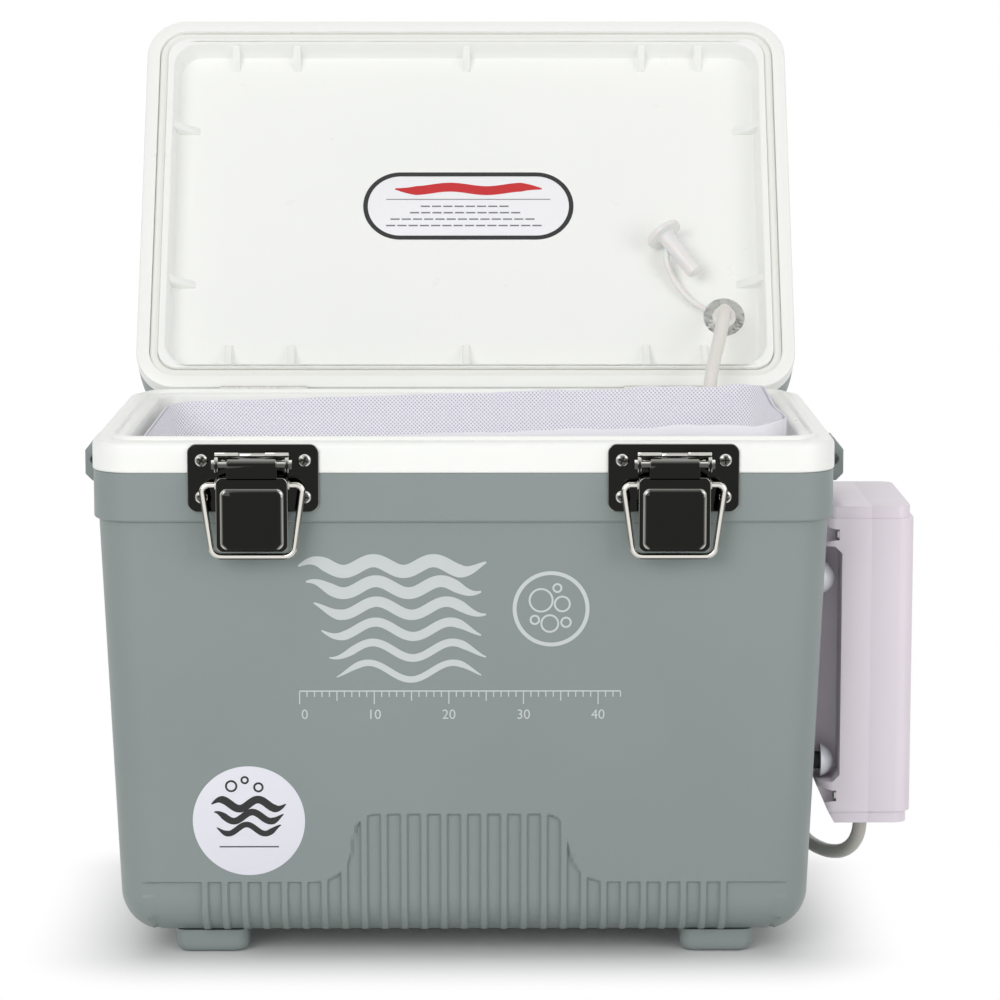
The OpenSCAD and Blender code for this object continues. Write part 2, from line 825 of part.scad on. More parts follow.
function fillet_run(a, b, c, bend) = bend / tan(acos(unit(a - b) * unit(c - b)) / 2) - bend_lap;

module latch_bail(side) {
    top_bend = 2.6;
    low_bend = 4;
    color("#b0b0aa")
        translate([side * latch_x, bail_y, bail_z])
            for (x = [-1, 1]) {
                stub = [x * 8, 0];
                shoulder = [x * bail_top_half, 0];
                foot_corner = [x * bail_low_half, -bail_len];
                middle = [0, -bail_len];
                leg = unit(foot_corner - shoulder);
                top_cut = fillet_run(stub, shoulder, foot_corner, top_bend);
                low_cut = fillet_run(shoulder, foot_corner, middle, low_bend);
                wire_run(stub, shoulder - [x * top_cut, 0], wire_r);
                wire_bend(stub, shoulder, foot_corner, top_bend, wire_r);
                wire_run(shoulder + top_cut * leg, foot_corner - low_cut * leg, wire_r);
                wire_bend(shoulder, foot_corner, middle, low_bend, wire_r);
                wire_run(foot_corner - [x * low_cut, 0], middle, wire_r);
            }
}

// Swings what is drawn on the closed lid to where the lid stands open.
module on_lid() {
    translate([0, hinge_y, hinge_z])
        rotate([-lid_open, 0, 0])
            translate([0, -hinge_y, -hinge_z])
                children();
}

module at_keeper_screws() {
    for (side = [-1, 1], x = [-1, 1])
        translate([side * latch_x + x * 6.5, front_y + pocket_deep - keeper_t, pocket_top - 7])
            facing_front()
                children();
}

module at_hinge_lid_screws() {
    for (side = [-1, 1], x = [-1, 1])
        translate([side * hinge_x + x * hinge_len * 0.33, back_y + leaf_t, leaf_high - 5])
            facing_back()
                children();
}

module lid_holes(play) {
    at_keeper_screws()
        translate([0, 0, -screw_len - fine])
            shaft(screw_r + play, screw_len + 2 * fine);
    at_hinge_lid_screws()
        translate([0, 0, -screw_len - fine])
            shaft(screw_r + play, screw_len + fine);
    translate([port_x, port_y, lid_z])
        shaft(port_r - 4 + play, lid_h + 1);
}

module keeper_pockets(grow) {
    for (side = [-1, 1])
        translate([side * latch_x - pocket_half - grow, front_y - 1, pocket_low - grow])
            cube([2 * (pocket_half + grow), pocket_deep + 1 + grow, pocket_top - pocket_low + 2 * grow]);
}

module lid_shell() {
    color("#8a9593")
        on_lid()
            difference() {
                hull() {
                    slab(rim_w, rim_d, corner_r, shell_z, lid_h - lid_band_h - 7, $fn = soft_fn);
                    slab(rim_w - 1.6, rim_d - 1.6, corner_r - 0.5, lid_top - 4.6, touch, $fn = soft_fn);
                    slab(rim_w - 5, rim_d - 5, corner_r - 2, lid_top - 2, touch, $fn = soft_fn);
                    slab(rim_w - 14, rim_d - 14, corner_r - 5, lid_top - touch, touch, $fn = soft_fn);
                }
                slab(rim_w - 2 * skirt_t, rim_d - 2 * skirt_t, corner_r - skirt_t, shell_z - touch,
                    lid_top - 2 * lid_wall - shell_z + touch);
                keeper_pockets(0);
                lid_holes(hair);
            }
}

// Fin from the pan's wall to its floor; drawn along +X from the wall, at the pan's floor.
module gusset(reach) {
    translate([0, 1.75, 0])
        rotate([90, 0, 0])
            linear_extrude(3.5)
                polygon([[-1, 1], [reach, 1], [reach, 0], [reach * 0.7, -1.6], [0, -pan_depth + 3], [-1, -pan_depth + 3]]);
}

module lid_liner() {
    color("#f4f5f0")
        on_lid()
            difference() {
                union() {
                    difference() {
                        slab(rim_w, rim_d, corner_r, lid_z, lid_band_h);
                        slab(rim_w - 2 * skirt_t, rim_d - 2 * skirt_t, corner_r - skirt_t,
                            lid_z + groove_deep + lid_wall, lid_h);
                        translate([0, pan_mid_y, 0])
                            slab(2 * pan_half, pan_d, 12, lid_z - 1, pan_depth + 1);
                    }
                    translate([0, pan_mid_y, 0])
                        difference() {
                            slab(2 * pan_half + 2 * lid_wall, pan_d + 2 * lid_wall, 12 + lid_wall,
                                lid_z + groove_deep, pan_depth - groove_deep + lid_wall);
                            slab(2 * pan_half, pan_d, 12, lid_z - 1, pan_depth + 1);
                        }
                    for (x = gusset_x * pan_half) {
                        translate([x, pan_back, pan_z])
                            rotate([0, 0, -90])
                                gusset(15);
                        translate([x, pan_front, pan_z])
                            rotate([0, 0, 90])
                                gusset(10);
                    }
                    for (y = gusset_y * pan_d) {
                        translate([pan_half, y, pan_z])
                            rotate([0, 0, 180])
                                gusset(12);
                        translate([-pan_half, y, pan_z])
                            gusset(12);
                    }
                }
                ring_slab(rim_w - 2 * bead_inset + groove_w, rim_d - 2 * bead_inset + groove_w,
                    corner_r - bead_inset + groove_w / 2, lid_z - 1, groove_deep + 1, groove_w);
                keeper_pockets(0);
                lid_holes(hair);
            }
}

module lid_foam() {
    color("#e8e4c8")
        on_lid()
            difference() {
                slab(rim_w - 2 * skirt_t - 2 * fine, rim_d - 2 * skirt_t - 2 * fine, corner_r - skirt_t - fine,
                    pan_z + lid_wall + fine, lid_top - 2 * lid_wall - pan_z - lid_wall - 2 * fine);
                keeper_pockets(fine);
                lid_holes(2 * hair);
            }
}

module lid_gasket() {
    color("#ecebd6")
        on_lid()
            ring_slab(rim_w - 2 * bead_inset + groove_w - 0.1, rim_d - 2 * bead_inset + groove_w - 0.1,
                corner_r - bead_inset + groove_w / 2 - 0.05, lid_z + groove_deep - gasket_t, gasket_t,
                groove_w - 0.1);
}

module lid_label() {
    color("white")
        on_lid()
            translate([0, -2.3, pan_z - 0.3])
                linear_extrude(0.3)
                    rounded_rect(label_w, label_h, label_h / 2 - touch);
}

// Silicone grommet: a flange on each side of the lid and a hollow neck between them.
module port_grommet() {
    color("#dcdcd8")
        on_lid()
            translate([port_x, port_y, 0])
                difference() {
                    union() {
                        translate([0, 0, pan_z - 2])
                            shaft(port_r, 2);
                        translate([0, 0, pan_z - touch])
                            shaft(port_r - 4, lid_top - pan_z + 2 * touch);
                        translate([0, 0, lid_top])
                            shaft(port_r, 2);
                    }
                    translate([0, 0, pan_z - 3])
                        shaft(hose_r - 1, lid_h);
                }
}

// Round-headed stopper on a moulded strap that starts at the grommet's flange.
module port_plug() {
    head = [port_x - plug_side, port_y - plug_reach, pan_z - plug_drop];
    tip = head + [plug_lean, plug_rise, -2];
    strap_start = head + [0.8, 10.5, 1.6];
    strap_mid = head + [5.5, 21.5, 6];
    strap_end = [port_x - port_r + 1, port_y - 3, pan_z - 3.2];
    along = unit(tip - head);
    color("#dcdcd8")
        on_lid() {
            translate(head)
                rotate([0, acos(along[2]), atan2(along[1], along[0])]) {
                    translate([0, 0, -2.4])
                        shaft(8.7, 2.5);
                    shaft(3.7, norm(tip - head));
                }
            for (ends = [[head + [0, 4, 1], strap_start], [strap_start, strap_mid], [strap_mid, strap_end]])
                hull()
                    for (p = ends)
                        translate(p)
                            sphere(1.5, $fn = 16);
        }
}

// How far out from the pocket's floor a slanted hook face lies that keeps a gap to the bail's bar.
function hook_out(gap, up) = keeper_t + 0.35 + wire_r + gap * sin(hook_slant)
    + (up + gap * cos(hook_slant)) / tan(hook_slant);

// Spring-steel plate whose lower edge is bent out and up into a hook for the bail's bar.
module keeper(side) {
    plate_y = front_y + pocket_deep;
    near_gap = wire_r + fine;
    far_gap = near_gap + 0.6;
    color("#50504c")
        on_lid()
            difference() {
                translate([side * latch_x - keeper_half, 0, latched_z])
                    rotate([90, 0, 90])
                        linear_extrude(2 * keeper_half)
                            polygon([[plate_y, -hook_low], [plate_y - hook_out(far_gap, -hook_low), -hook_low],
                                [plate_y - hook_out(far_gap, 0), 0],
                                [plate_y - hook_out(near_gap, 0), 0],
                                [plate_y - hook_out(near_gap, -near_gap), -near_gap],
                                [plate_y - keeper_t, -near_gap],
                                [plate_y - keeper_t, pocket_top - 1.5 - latched_z],
                                [plate_y, pocket_top - 1.5 - latched_z]]);
                lid_holes(hair);
            }
}

module keeper_screws() {
    color("#9a9a96")
        on_lid()
            at_keeper_screws()
                cross_screw();
}

// Three knuckles to a hinge: the outer two on the box, the middle one on the lid.
module hinge_body_leaf(side) {
    third = hinge_len / 3;
    color("#b4b4b0")
        translate([side * hinge_x - hinge_len / 2, 0, 0])
            difference() {
                union() {
                    translate([0, back_y, leaf_low])
                        cube([hinge_len, leaf_t, hinge_z - knuckle_r - 1.2 - leaf_low]);
                    for (x = [0, 2 * third]) {
                        translate([x, back_y, leaf_low])
                            cube([third - fine, leaf_t, hinge_z - leaf_low]);
                        translate([x, hinge_y, hinge_z])
                            rotate([0, 90, 0])
                                shaft(knuckle_r, third - fine);
                    }
                }
                translate([-1, hinge_y, hinge_z])
                    rotate([0, 90, 0])
                        shaft(hinge_pin_r, hinge_len + 2);
                for (x = [-1, 1])
                    translate([hinge_len / 2 + x * hinge_len * 0.33, back_y - 1, leaf_low + 6])
                        facing_back()
                            shaft(screw_r + hair, leaf_t + 2);
            }
}

module hinge_lid_leaf(side) {
    third = hinge_len / 3;
    color("#b4b4b0")
        on_lid()
            translate([side * hinge_x - hinge_len / 2, 0, 0])
                difference() {
                    union() {
                        translate([0, back_y, hinge_z + knuckle_r + 1.2])
                            cube([hinge_len, leaf_t, leaf_high - hinge_z - knuckle_r - 1.2]);
                        translate([third, back_y + leaf_t / 2, hinge_z])
                            cube([third - fine, leaf_t / 2, leaf_high - hinge_z]);
                        translate([third, hinge_y, hinge_z])
                            rotate([0, 90, 0])
                                shaft(knuckle_r, third - fine);
                    }
                    translate([-1, hinge_y, hinge_z])
                        rotate([0, 90, 0])
                            shaft(hinge_pin_r + hair, hinge_len + 2);
                    for (x = [-1, 1])
                        translate([hinge_len / 2 + x * hinge_len * 0.33, back_y - 1, leaf_high - 5])
                            facing_back()
                                shaft(screw_r + hair, leaf_t + 2);
                }
}

module hinge_pins() {
    color("#c8c8c4")
        for (side = [-1, 1])
            translate([side * hinge_x - hinge_len / 2, hinge_y, hinge_z])
                rotate([0, 90, 0])
                    shaft(hinge_pin_r, hinge_len - fine);
}

module hinge_body_screws() {
    color("#c8c8c4")
        at_hinge_body_screws()
            cross_screw();
}

module hinge_lid_screws() {
    color("#c8c8c4")
        on_lid()
            at_hinge_lid_screws()
                cross_screw();
}

// Thin disc stuck on the leaning front wall.
module round_sticker() {
    color("#e4e4ee")
        translate([sticker_x, wall_top_half - depth_top_half - wall_x(sticker_z), sticker_z])
            rotate([90 + lean_angle, 0, 0])
                shaft(sticker_r, 0.3);
}

// Plate that lies along the leaning wall behind the stud heads, with a wedge that carries the case.
module pump_bracket() {
    plate_mid_z = (stud_low + stud_high) / 2;
    wedge_low = plate_mid_z - 26;
    wedge_high = plate_mid_z + 26;
    color("#2c2c2e")
        difference() {
            union() {
                on_right_wall(0, plate_mid_z)
                    translate([-(stud_high - stud_low) / 2 - 7, -stud_y - 6, 0.4])
                        cube([stud_high - stud_low + 14, 2 * stud_y + 12, 0.8]);
                translate([0, land_half - 4, 0])
                    rotate([90, 0, 0])
                        linear_extrude(2 * land_half - 8)
                            polygon([[wall_x(wedge_low) + 0.8, wedge_low], [pump_x, wedge_low],
                                [pump_x, wedge_high], [wall_x(wedge_high) + 0.8, wedge_high]]);
            }
            at_studs()
                translate([0, 0, -stud_len])
                    shaft(screw_r + 2.4, stud_len);
            for (z = [plate_mid_z - 16, plate_mid_z + 16])
                translate([pump_x - 1.9, 0, z])
                    rotate([0, 90, 0])
                        shaft(1.25, 4);
        }
}

module stud_bushes() {
    color("#18181a")
        for (y = [-stud_y, stud_y], z = [stud_low, stud_high])
            translate([wall_x(z) + 0.4, y, z])
                rotate([0, 90, 0])
                    difference() {
                        shaft(screw_r + 2.15, stud_x - wall_x(z) - 0.4);
                        translate([0, 0, -1])
                            shaft(screw_r + hair, stud_len);
                    }
}

module pump_studs() {
    dome_h = 5.6;
    dome_r = (stud_r * stud_r + dome_h * dome_h) / (2 * dome_h);
    color("#ececf0")
        at_studs() {
            intersection() {
                translate([0, 0, dome_h - dome_r])
                    sphere(dome_r);
                shaft(stud_r, dome_h);
            }
            translate([0, 0, -stud_len])
                shaft(screw_r, stud_len + touch);
        }
}

// Outer form of the pump's case, grown or shrunk by a margin all round.
module pump_form(inset) {
    translate([pump_x + pump_w / 2, 0, 0]) {
        slab(pump_w - 2 * inset, pump_d - 2 * inset, 7 - inset, pump_z + cap_h + inset,
            pump_h - 2 * cap_h - 2 * inset);
        slab(pump_w - 2 * cap_step - 2 * inset, pump_d - 2 * cap_step - 2 * inset, 6 - inset, pump_z + inset,
            pump_h - 2 * inset);
    }
}

module pump_chamfer(inset) {
    translate([0, pump_d, 0])
        rotate([90, 0, 0])
            linear_extrude(2 * pump_d)
                polygon([[pump_x - 1, pump_z + 15.5 + 2 * inset], [pump_x + inset * 1.4, pump_z + 15.5 + 2 * inset],
                    [pump_x + 4.8 + inset * 1.4, pump_z + 4.8], [pump_x + 7.5 + inset, pump_z + inset - 0.1],
                    [pump_x - 1, pump_z - 1]]);
}

// Room beside the case for the stud heads, with chamfered ends.
module stud_room(inset) {
    for (y = [-1, 1])
        translate([0, y > 0 ? pump_d : -land_half + inset, 0])
            rotate([90, 0, 0])
                linear_extrude(pump_d - land_half + inset)
                    polygon([[pump_x - 1, slot_low - inset], [slot_x - 3, slot_low - inset],
                        [slot_x + inset, slot_low + 3 - inset], [slot_x + inset, slot_high - 3 + inset],
                        [slot_x - 3, slot_high + inset], [pump_x - 1, slot_high + inset]]);
}

module at_posts() {
    for (y = [-post_y, post_y], z = [post_low, post_high])
        translate([pump_x, y, z])
            rotate([0, 90, 0])
                children();
}

module half_space(low, high) {
    translate([low, -pump_d, pump_z - 5])
        cube([high - low, 2 * pump_d, pump_h + 10]);
}

module pump_case_inner() {
    color("#d7cfd9")
        difference() {
            union() {
                intersection() {
                    difference() {
                        pump_form(0);
                        pump_form(pump_wall);
                        pump_chamfer(0);
                        stud_room(0);
                    }
                    half_space(pump_x - 1, pump_seam);
                }
                intersection() {
                    pump_form(0);
                    half_space(pump_x - 1, pump_seam);
                    union() {
                        difference() {
                            stud_room(pump_wall);
                            stud_room(0);
                        }
                        difference() {
                            pump_chamfer(pump_wall);
                            pump_chamfer(0);
                        }
                        at_posts()
                            difference() {
                                shaft(post_r, pump_seam - pump_x);
                                translate([0, 0, -1])
                                    shaft(post_hole_r, 9);
                            }
                    }
                }
            }
            at_posts() {
                translate([0, 0, -1])
                    shaft(post_hole_r, 9);
                shaft(screw_r + hair, pump_w);
            }
            stud_room(0);
            pump_chamfer(0);
            translate([air_x, air_y, pump_z - 2])
                shaft(hose_r + 0.1, 10);
            for (z = [(stud_low + stud_high) / 2 - 16, (stud_low + stud_high) / 2 + 16])
                translate([pump_x - 1, 0, z])
                    rotate([0, 90, 0])
                        shaft(1.3, 5);
        }
}

module pump_case_outer() {
    color("#d7cfd9")
        difference() {
            union() {
                intersection() {
                    difference() {
                        pump_form(0);
                        pump_form(pump_wall);
                    }
                    half_space(pump_seam, pump_out_x + 1);
                }
                intersection() {
                    pump_form(0);
                    half_space(pump_seam, pump_out_x + 1);
                    at_posts()
                        translate([0, 0, pump_seam - pump_x])
                            shaft(post_r, pump_w);
                }
            }
            at_posts()
                translate([0, 0, pump_seam - pump_x - 1])
                    shaft(screw_r + hair, 12);
            translate([air_x, air_y, pump_z - 2])
                shaft(hose_r + 0.1, 10);
            translate([pump_seam + 6, pump_d / 2 - 4, pump_top - 44.2])
                cube([4.4, 6, 12]);
        }
}

module pump_case_screws() {
    color("#9a9a96") {
        at_posts()
            translate([0, 0, 8])
                rotate([180, 0, 0])
                    pan_screw(screw_r, 2.6, 1.5, 20);
        for (z = [(stud_low + stud_high) / 2 - 16, (stud_low + stud_high) / 2 + 16])
            translate([pump_x + pump_wall, 0, z])
                rotate([0, 90, 0])
                    pan_screw(1.2, 2.2, 1.2, 3.6);
    }
}

// Gasket just inside the seam, which goes round the screw posts and opens at the air outlet.
module pump_case_seal() {
    inner_w = pump_h - 2 * cap_h - 2 * pump_wall - 2 * hair;
    inner_d = pump_d - 2 * pump_wall - 2 * hair;
    color("#303030")
        difference() {
            translate([pump_seam - 1, 0, (pump_z + pump_top) / 2])
                rotate([0, 90, 0])
                    linear_extrude(2)
                        difference() {
                            intersection() {
                                rounded_rect(inner_w, inner_d, 5);
                                union() {
                                    difference() {
                                        rounded_rect(inner_w, inner_d, 5);
                                        rounded_rect(inner_w - 3, inner_d - 3, 3.5);
                                    }
                                    for (x = [pump_low_post(), pump_high_post()], y = [-post_y, post_y])
                                        translate([x, y])
                                            circle(post_r + 1.8);
                                }
                            }
                            for (x = [pump_low_post(), pump_high_post()], y = [-post_y, post_y])
                                translate([x, y])
                                    circle(post_r + hair);
                        }
            translate([air_x, air_y, pump_z])
                shaft(hose_r + 0.1, 16);
        }
}

function pump_low_post() = (pump_z + pump_top) / 2 - post_low;
function pump_high_post() = (pump_z + pump_top) / 2 - post_high;

module battery_cell(low) {
    color("#b08d3c")
        translate([cell_x, cell_y, low]) {
            shaft(cell_r, cell_len - 2.4);
            shaft(3.2, cell_len - hair);
        }
}

// Stamped contacts at the two ends of the cell column, each a spring leaf.
module battery_contacts() {
    color("#c8c8c4")
        for (z = [cell_low - 1.4, cell_low + 2 * cell_len + 0.4]) {
            translate([cell_x - 8, cell_y - 6, z])
                cube([16, 12, 1]);
        }
}

module pump_motor() {
    color("#b8b8b4")
        translate([rod_x + 10.2, air_y, motor_z])
            rotate([0, 90, 0]) {
                shaft(motor_r, 12);
                translate([0, 0, 12])
                    shaft(3, 0.8);
                translate([0, 0, -1.4])
                    difference() {
                        shaft(3, 1.5);
                        translate([0, 0, -1])
                            shaft(1.1, 4);
                    }
            }
}

// Eccentric disc with a shaft stub in the motor's bush and a crank pin that stands off its middle.
module motor_eccentric() {
    color("#e8e8e4")
        translate([rod_x + 4.4, air_y, motor_z])
            rotate([0, 90, 0]) {
                shaft(7, 4);
                translate([0, 0, 4 - touch])
                    shaft(1, 1.8);
                translate([-crank_throw, 0, -3.6])
                    shaft(1.5, 3.7);
            }
}

// Rod with a wide eye round the crank pin and a flat foot on the diaphragm.
module diaphragm_rod() {
    eye_in = 1.5 + 2 * crank_throw + fine;
    color("#f0f0ec")
        translate([rod_x, air_y, motor_z])
            rotate([0, 90, 0]) {
                difference() {
                    union() {
                        shaft(eye_in + 2.2, 3.4);
                        translate([0, -2.5, 0])
                            cube([motor_z - head_top - 4.2, 5, 3.4]);
                    }
                    translate([0, 0, -1])
                        shaft(eye_in, 6);
                }
                translate([motor_z - head_top - 5, 0, 1.7])
                    rotate([0, 90, 0])
                        shaft(4.2, 1.6);
            }
}

module diaphragm() {
    color("#2a2a2c")
        translate([rod_x + 1.7, air_y, head_top])
            union() {
                shaft(7.5, 1.4);
                shaft(4.4, 3.4);
            }
}

// Valve block under the diaphragm, with the outlet that the hose meets.
module air_head() {
    color("#d8d8d4") {
        translate([rod_x - 2, air_y - 11, pump_z + 9])
            cube([22, 22, head_top - pump_z - 9]);
        translate([air_x, air_y, nipple_low])
            difference() {
                shaft(hose_r, 10);
                translate([0, 0, -1])
                    shaft(hose_r - 1, 6);
            }
    }
}

module circuit_board() {
    color("#2f6b3c") {
        translate([pump_seam + 5, pump_d / 2 - pump_wall - 11, pump_top - 44])
            cube([8.4, 1.6, 22]);
        translate([pump_seam + 5.4, pump_d / 2 - pump_wall - 9.4, pump_top - 41])
            cube([6.4, 4.4, 14]);
    }
}

// Slide knob that shows through a slot in the back of the case.
module switch_knob() {
    color("#303034")
        translate([pump_seam + 6.6, 0, pump_top - 38.6]) {
            translate([0, pump_d / 2 - pump_wall - 4.6, 0])
                cube([3.2, 7.6, 4]);
            translate([-1.4, pump_d / 2 + fine, -2])
                cube([6, 1.6, 8]);
        }
}

module air_hose_outer() {
    color("#a0a098")
        tube_along(route_line(outer_route(), 2), hose_r, 10, [1, 0.3, 0.1]);
}

module air_hose_inner() {
    color("#e2dfd8")
        tube_along(route_line(inner_route(), 2), hose_r, 10, [1, 0.3, 0.1]);
}

module airstone() {
    color("#9fb2c4")
        translate([stone_x, stone_y, stone_z])
            rotate([0, -90, 0]) {
                shaft(hose_r, 4.1);
                translate([0, 0, 4])
                    shaft(stone_r, stone_len);
            }
}

// Outside of the net bag: a tilted mouth that narrows to a rounded bottom.
module net_form(inset, lift) {
    depth = net_front + net_back;
    translate([0, (net_back - net_front) / 2, 0])
        hull() {
            for (x = [-1, 1], y = [-1, 1])
                translate([x * (tub_low_w / 2 - net_low_gap[0] - net_edge_r),
                    y * (tub_low_d / 2 - net_low_gap[1] - net_edge_r), net_low + net_edge_r])
                    sphere(net_edge_r - inset, $fn = soft_fn);
            multmatrix([[1, 0, 0, 0], [0, 1, 0, 0], [net_rise_x, 0, 1, net_mouth_z + lift], [0, 0, 0, 1]])
                linear_extrude(touch)
                    rounded_rect(2 * (net_half - inset), depth - 2 * inset, net_edge_r - inset, $fn = soft_fn);
        }
}

module bait_net() {
    color("#dedce6")
        difference() {
            net_form(0, 0);
            net_form(net_t, 1);
        }
}

outer_shell();
foam_core();
inner_liner();
foot(-1, -1);  // foot_front_left
foot(1, -1);  // foot_front_right
foot(-1, 1);  // foot_rear_left
foot(1, 1);  // foot_rear_right
foot_screws();
strap_lug(-1);  // strap_lug_left
strap_lug(1);  // strap_lug_right
strap_lug_screws();
latch_plate(-1);  // latch_plate_left
latch_plate(1);  // latch_plate_right
latch_screws();
lever_pins();
hinge_body_leaf(-1);  // hinge_body_leaf_left
hinge_body_leaf(1);  // hinge_body_leaf_right
hinge_pins();
hinge_body_screws();
round_sticker();
pump_bracket();
pump_studs();
stud_bushes();
pump_case_inner();
pump_case_outer();
pump_case_screws();
pump_case_seal();
battery_cell(cell_low + cell_len);  // battery_upper
battery_cell(cell_low);  // battery_lower
battery_contacts();
pump_motor();
air_head();
diaphragm();
circuit_board();
air_hose_outer();
air_hose_inner();
airstone();
bait_net();
lid_shell();
lid_foam();
lid_liner();
lid_gasket();
lid_label();
port_grommet();
port_plug();
keeper(-1);  // keeper_left
keeper(1);  // keeper_right
keeper_screws();
hinge_lid_leaf(-1);  // hinge_lid_leaf_left
hinge_lid_leaf(1);  // hinge_lid_leaf_right
hinge_lid_screws();
latch_lever(-1);  // latch_lever_left
latch_lever(1);  // latch_lever_right
bail_sleeve(-1);  // bail_sleeve_left
bail_sleeve(1);  // bail_sleeve_right
latch_bail(-1);  // latch_bail_left
latch_bail(1);  // latch_bail_right
motor_eccentric();
diaphragm_rod();
switch_knob();
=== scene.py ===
"""An insulated live bait box with an open lid, a net bag, two draw latches and an air pump on its side.

Sizes are in millimetres and become metres where a mesh is made. The camera, the lamps and the places where
each hose starts and ends its bend are in metres. X runs to the right, Y away from the viewer and Z up, from
the middle of the box's footprint on the floor.
"""
import math
import random

import bmesh
import bpy
from mathutils import Matrix, Vector


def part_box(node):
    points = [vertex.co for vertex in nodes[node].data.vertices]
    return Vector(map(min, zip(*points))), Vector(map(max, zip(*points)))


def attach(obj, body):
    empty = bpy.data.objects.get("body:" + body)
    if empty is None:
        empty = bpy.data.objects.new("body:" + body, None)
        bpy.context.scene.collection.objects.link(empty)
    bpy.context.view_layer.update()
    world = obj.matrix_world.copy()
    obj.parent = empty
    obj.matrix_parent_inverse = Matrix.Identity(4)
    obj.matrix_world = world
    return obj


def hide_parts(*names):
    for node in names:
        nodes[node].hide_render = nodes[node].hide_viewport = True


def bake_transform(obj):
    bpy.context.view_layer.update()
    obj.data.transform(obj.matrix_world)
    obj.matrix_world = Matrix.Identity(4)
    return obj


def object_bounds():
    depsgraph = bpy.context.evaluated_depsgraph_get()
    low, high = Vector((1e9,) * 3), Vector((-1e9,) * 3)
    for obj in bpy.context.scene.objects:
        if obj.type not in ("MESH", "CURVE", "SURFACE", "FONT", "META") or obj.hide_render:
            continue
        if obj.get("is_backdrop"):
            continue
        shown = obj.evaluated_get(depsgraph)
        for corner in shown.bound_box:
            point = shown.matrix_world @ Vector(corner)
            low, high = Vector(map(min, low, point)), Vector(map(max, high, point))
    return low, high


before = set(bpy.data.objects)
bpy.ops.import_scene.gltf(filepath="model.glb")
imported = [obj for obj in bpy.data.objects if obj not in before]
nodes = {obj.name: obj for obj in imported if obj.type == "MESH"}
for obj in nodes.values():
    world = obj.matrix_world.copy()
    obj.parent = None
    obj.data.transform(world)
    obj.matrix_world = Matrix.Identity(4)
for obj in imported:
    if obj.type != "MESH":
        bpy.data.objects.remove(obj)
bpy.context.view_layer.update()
scene = bpy.context.scene

# Camera, lamps, backdrop and floor.
# The camera stands 1.5 m in front of the box and looks slightly down, as the photograph's does. The floor and
# the backdrop are white to the eye, and the floor keeps a soft shadow close round the box.
LOOK_DOWN, LOOK_ASIDE = 8.0562, -0.2513
ROOM_LIGHT = 0.47
SHADOW_X, SHADOW_Y, SHADOW_REACH = 0.125, 0.07, 0.06

camera = bpy.data.objects.new("camera", bpy.data.cameras.new("camera"))
scene.collection.objects.link(camera)
scene.camera = camera
camera.location = (0.008308, -1.514058, 0.39201)
camera.rotation_euler = (math.radians(90 - LOOK_DOWN), 0, math.radians(LOOK_ASIDE))
camera.data.sensor_width = 36
camera.data.lens = 129.849
camera.data.clip_start = 0.05
scene.view_settings.view_transform = "Standard"


def area_lamp(name, place, target, width, height, watts):
    lamp = bpy.data.objects.new(name, bpy.data.lights.new(name, "AREA"))
    lamp.data.shape = "RECTANGLE"
    lamp.data.size, lamp.data.size_y = width, height
    lamp.data.energy = watts
    lamp.location = place
    lamp.rotation_euler = (Vector(target) - Vector(place)).to_track_quat("-Z", "Y").to_euler()
    scene.collection.objects.link(lamp)


area_lamp("key", (-0.9, -1.7, 0.95), (0, 0, 0.15), 1.2, 1.0, 14)
area_lamp("fill", (1.4, -1.3, 0.7), (0, 0, 0.15), 1.0, 1.2, 8)
area_lamp("top", (0.1, 0.1, 1.7), (0, 0, 0.1), 1.4, 1.2, 1.5)
area_lamp("back", (0.2, 1.8, 1.1), (0, 0, 0.2), 1.4, 0.8, 2)


class Value:
    """A shader socket that can be used in plain arithmetic."""

    def __init__(self, owner, socket):
        self.owner, self.socket = owner, socket

    def math(self, operation, *others, clamp=False):
        return self.owner.node("Math", self, *others, settings={"operation": operation, "use_clamp": clamp})

    def __add__(self, other):
        return self.math("ADD", other)

    def __sub__(self, other):
        return self.math("SUBTRACT", other)

    def __rsub__(self, other):
        return self * -1 + other

    def __mul__(self, other):
        return self.math("MULTIPLY", other)

    def __truediv__(self, other):
        return self.math("DIVIDE", other)

    def __abs__(self):
        return self.math("ABSOLUTE")

    __radd__, __rmul__ = __add__, __mul__

    def sin(self):
        return self.math("SINE")

    def largest(self, other):
        return self.math("MAXIMUM", other)

    def ramp(self, low, high):
        """0 up to the low value, 1 from the high one, and straight between them."""
        return ((self - low) / (high - low)).math("ADD", 0, clamp=True)


class Tree:
    """The shader nodes of a world or a material. Sockets are fed with plain values or with links."""

    def __init__(self, owner):
        owner.use_nodes = True
        self.tree = owner.node_tree

    def put(self, socket, item):
        if isinstance(item, Value):
            self.tree.links.new(item.socket, socket)
        else:
            socket.default_value = item

    def node(self, kind, *values, output=0, settings=None, **inputs):
        """Adds a node and feeds its sockets, by order or by name."""
        node = self.tree.nodes.new("ShaderNode" + kind)
        for key, item in (settings or {}).items():
            setattr(node, key, item)
        for i, item in enumerate(values):
            self.put(node.inputs[i], item)
        for key, item in inputs.items():
            self.put(node.inputs[key.replace("_", " ")], item)
        return Value(self, node.outputs[output])

    def seen_directly(self):
        """1 for rays from the camera, mirrored rays and rays that went through something clear."""
        straight, shiny, through = (self.node("LightPath", output=f"Is {kind} Ray")
                                    for kind in ("Camera", "Glossy", "Transmission"))
        return straight.largest(shiny).largest(through)

    def show(self, shader, place):
        self.put(self.tree.nodes[place].inputs["Surface"], shader)


